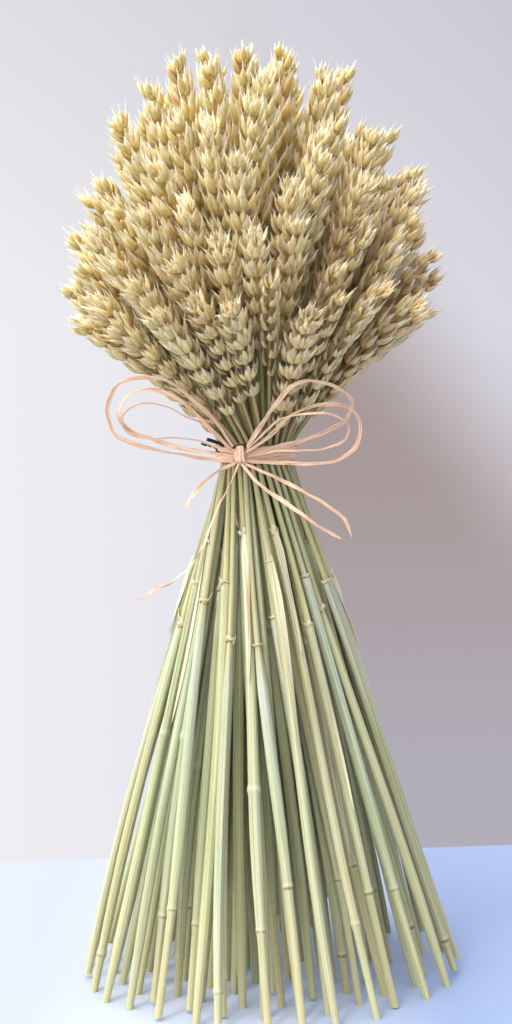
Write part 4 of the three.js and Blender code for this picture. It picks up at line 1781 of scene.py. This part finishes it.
@dataclass
class WireTie:
    """The black wire tie: it shows over the band beside the knot, and its twisted ends stick out to the left."""

    finishes: Finishes
    neck_height: float = 270.0
    thickness: float = 1.05 * MM
    radius: float = 19.9
    rise: float = 4.7
    knot_angle: float = math.radians(-109)
    twist_length: float = 2.6 * MM
    twist_reach: float = 0.55 * MM
    loose_reach: float = 0.25 * MM
    spacing: float = 0.3 * MM
    flatness: float = 0.9

    TWISTED_END = ((-16.5, -12.8, 274.4), (-19.0, -14.2, 275.8), (-21.5, -14.8, 276.8), (-24.4, -15.2, 277.8))
    LOOSE_END = (
        (-18.0, -14.2, 270.6), (-19.8, -16.3, 272.0), (-20.2, -16.8, 273.6), (-23.4, -16.8, 274.8),
        (-27.4, -16.8, 275.6),
    )

    def _turn(self) -> Point:
        """Returns the turn of wire round the stems, which climbs over the band beside the knot."""
        turns = np.linspace(0, 2 * math.pi, 97)
        aside = (turns - self.knot_angle + math.pi) % (2 * math.pi) - math.pi
        up = self.neck_height + self.rise * np.exp(-((aside / 0.45) ** 2))
        return np.stack([self.radius * np.cos(turns), self.radius * np.sin(turns), up], axis=1) * MM

    def _twisted(self, line: Point, reach: float, phase: float) -> Point:
        """Returns a line that winds round another one.

        Args:
            line: The line to wind round.
            reach: How far it stands off, in metres.
            phase: Where its first turn starts.

        Returns:
            The wound line.
        """
        heading = np.gradient(line, axis=0)
        side = np.cross(heading, (0.0, 1.0, 0.0))
        side /= np.linalg.norm(side, axis=1)[:, None]
        other = np.cross(heading, side)
        other /= np.linalg.norm(other, axis=1)[:, None]
        travelled = np.concatenate([[0], np.cumsum(np.linalg.norm(np.diff(line, axis=0), axis=1))])
        turn = (phase + 2 * math.pi * travelled / self.twist_length)[:, None]
        return line + reach * (np.cos(turn) * side + np.sin(turn) * other)

    def build(self) -> None:
        """Builds the wire as one piece."""
        twisted = smooth_route(self.TWISTED_END, self.spacing)
        loose = smooth_route(self.LOOSE_END, self.spacing)
        lines = [
            self._turn(),
            self._twisted(twisted, self.twist_reach, 0.0),
            self._twisted(twisted, self.twist_reach, math.pi),
            self._twisted(loose, self.loose_reach, 0.0),
        ]
        stations = []
        for line in lines:
            across = np.cross(np.gradient(line, axis=0), (0.0, 0.0, 1.0))
            stations.append([
                {"co": co, "across": unit(side), "width": self.thickness, "along": k / 20}
                for k, (co, side) in enumerate(zip(line, across))
            ])
        values = {"Thickness": self.flatness, "Finish": self.finishes.wire}
        show(ribbon_tree().grow("twisted_wire", line_object("wire_lines", stations), values), "wire", "wire_tie")


# ---------------------------------------------------------------- stage


@dataclass
class Stage:
    """Camera, lights and the pale floor."""

    camera_place: tuple = (39.2 * MM, -951.3 * MM, 336.7 * MM)
    yaw: float = math.radians(-2.44)
    pitch: float = math.radians(5.87)
    roll: float = math.radians(-1.48)
    lens: float = 65.3
    sensor: float = 36
    aim: tuple = (0, 0, 0.25)

    WALL = (
        (0.0, (0.95, 0.95, 1.0)), (0.41, (0.87, 0.86, 0.90)), (0.545, (0.70, 0.69, 0.765)),
        (0.7, (0.34, 0.355, 0.45)), (1.0, (0.26, 0.28, 0.38)),
    )
    SHADE_HIGH = (0.395, 0.325, 0.322)
    SHADE_LOW = (0.445, 0.425, 0.485)
    TABLE = (0.30, 0.325, 0.335)
    PAINTED_TABLE_GLOW = (0.07, 0.09, 0.15, 1)

    def build_camera(self) -> None:
        """Sets the camera where the photograph was taken from."""
        forward = np.array([
            math.sin(self.yaw) * math.cos(self.pitch), math.cos(self.yaw) * math.cos(self.pitch), -math.sin(self.pitch)
        ])
        right = np.array([math.cos(self.yaw), -math.sin(self.yaw), 0.0])
        up = np.cross(right, forward)
        turned_right = math.cos(self.roll) * right + math.sin(self.roll) * up
        turned_up = -math.sin(self.roll) * right + math.cos(self.roll) * up
        data = bpy.data.cameras.new("camera")
        data.lens = self.lens
        data.sensor_width = self.sensor
        camera = bpy.data.objects.new("camera", data)
        bpy.context.scene.collection.objects.link(camera)
        turn = Matrix(np.stack([turned_right, turned_up, -forward], axis=1).tolist()).to_4x4()
        camera.matrix_world = Matrix.Translation(self.camera_place) @ turn
        bpy.context.scene.camera = camera

    def _light(self, name: str, place: tuple, size: float, power: float, colour: tuple) -> None:
        """Adds one soft lamp that looks at the middle of the sheaf.

        Args:
            name: The lamp's name.
            place: Where it hangs, in metres.
            size: The width of its disk, in metres.
            power: Its power in watts.
            colour: Its colour.
        """
        data = bpy.data.lights.new(name, "AREA")
        data.shape = "DISK"
        data.size = size
        data.energy = power
        data.color = colour
        lamp = bpy.data.objects.new(name, data)
        bpy.context.scene.collection.objects.link(lamp)
        lamp.location = place
        lamp.rotation_mode = "QUATERNION"
        lamp.rotation_quaternion = (Vector(self.aim) - Vector(place)).to_track_quat("-Z", "Y")

    def build_lights(self) -> None:
        """Sets a big soft window light from the left front, a smaller one above it and a weak fill from the right."""
        self._light("window", (-1.35, -1.1, 1.65), 1.2, 8.5, (0.965, 0.975, 0.955))
        self._light("upper", (-0.75, -0.85, 2.2), 0.35, 20, (0.975, 0.985, 0.96))
        self._light("fill", (1.4, -1.2, 0.7), 1.2, 1, (0.95, 0.97, 1.0))
        bpy.context.scene.view_settings.view_transform = "Standard"

    def build_room(self) -> None:
        """Gives the room its light: a pale wall that falls off to the right, with a soft shade low behind."""
        world = bpy.data.worlds.new("pale_room")
        world.use_nodes = True
        tree = Tree(world.node_tree)
        way = tree.node("ShaderNodeSeparateXYZ", {0: tree.node("ShaderNodeTexCoord").outputs["Generated"]}).outputs
        wall = tree.ramp(tree.math("MULTIPLY_ADD", way[0], 0.5, 0.5), *self.WALL)
        slope = tree.math("MULTIPLY_ADD", way[0], -1.33, tree.math("MULTIPLY", way[2], -1.0))
        low = tree.span(slope, -0.127, 0.033, smooth=True)
        right = tree.span(way[0], -0.062, -0.014, smooth=True)
        behind = tree.span(way[1], 0.6, 0.9)
        shade = tree.math("MULTIPLY", tree.math("MULTIPLY", low, right), behind)
        shadow = tree.mix(tree.span(way[2], -0.09, -0.24), self.SHADE_HIGH, self.SHADE_LOW)
        colour = tree.mix(shade, wall, shadow)
        high = tree.span(way[2], 0.0, 0.17, 1.0, 0.86)
        ceiling = tree.span(way[2], 0.25, 0.8, 0.0, 2.2)
        window = tree.span(way[0], -0.3, -0.9, 1.0, 1.22)
        front = tree.span(way[1], 0.2, -0.6, 1.0, 1.62)
        strength = tree.math("MULTIPLY", tree.math("MULTIPLY", tree.math("ADD", high, ceiling), window), front)
        background = tree.tree.nodes["Background"].inputs
        tree.tree.links.new(colour, background["Color"])
        tree.tree.links.new(strength, background["Strength"])
        bpy.context.scene.world = world

    def build_floor(self) -> None:
        """Lays a pale table that ends close behind the sheaf, with a painted bluish shadow to the right of the sheaf, a
        painted lighter patch under it and a faint painted glow.
        """
        near, far, wide, slant = -3.0, 0.2011, 3.0, 0.0709
        corners = [(-wide, near, 0), (wide, near, 0), (wide, far + slant * wide, 0), (-wide, far - slant * wide, 0)]
        floor = mesh_object("floor", corners, [(0, 1, 2, 3)])
        # The emission is a painted glow that lifts the table's shade.
        tree = MaterialTree("floor", Roughness=0.6, Emission_Color=self.PAINTED_TABLE_GLOW, Emission_Strength=1.0)
        place = tree.node("ShaderNodeTexCoord").outputs["Object"]
        across, back = tree.node("ShaderNodeSeparateXYZ", {0: place}).outputs[:2]
        noise = tree.node("ShaderNodeTexNoise", {"Vector": place, "Scale": 6.0}).outputs["Fac"]
        side = tree.math("MULTIPLY_ADD", noise, 0.06, tree.math("MULTIPLY_ADD", across, 2.0, 0.3))
        # Painted light and shadow: lighter under the sheaf, a darker bluish band to its right, fading out towards the
        # front.
        painted_shadow_and_light = tree.ramp(
            side, (0.08, self.TABLE), (0.2, (0.37, 0.40, 0.43)), (0.37, (0.36, 0.395, 0.44)),
            (0.52, (0.175, 0.23, 0.35)), (0.66, (0.19, 0.245, 0.36)), (0.96, self.TABLE),
        )
        colour = tree.mix(tree.span(back, -0.42, -0.12, smooth=True), self.TABLE, painted_shadow_and_light)
        floor.data.materials.append(tree.close(colour, noise, 0.0))


def main() -> None:
    """Builds the stage, the cords, the ears, the stems and the tie, in that order."""
    logging.basicConfig(level=logging.INFO, format="%(name)s: %(message)s")
    stage = Stage()
    stage.build_camera()
    finishes = Finishes.build()
    bow = Bow(finishes)
    bow.build_strands()
    bow.build_band()
    bow.build_knot()
    groups = StalkField().groups()
    Stems(groups, finishes).build()
    Rims(groups, finishes).build()
    LeafStrips(groups, finishes).build()
    Ears(groups, finishes).build()
    WireTie(finishes).build()
    stage.build_lights()
    stage.build_room()
    stage.build_floor()


if __name__ == "__main__":
    main()
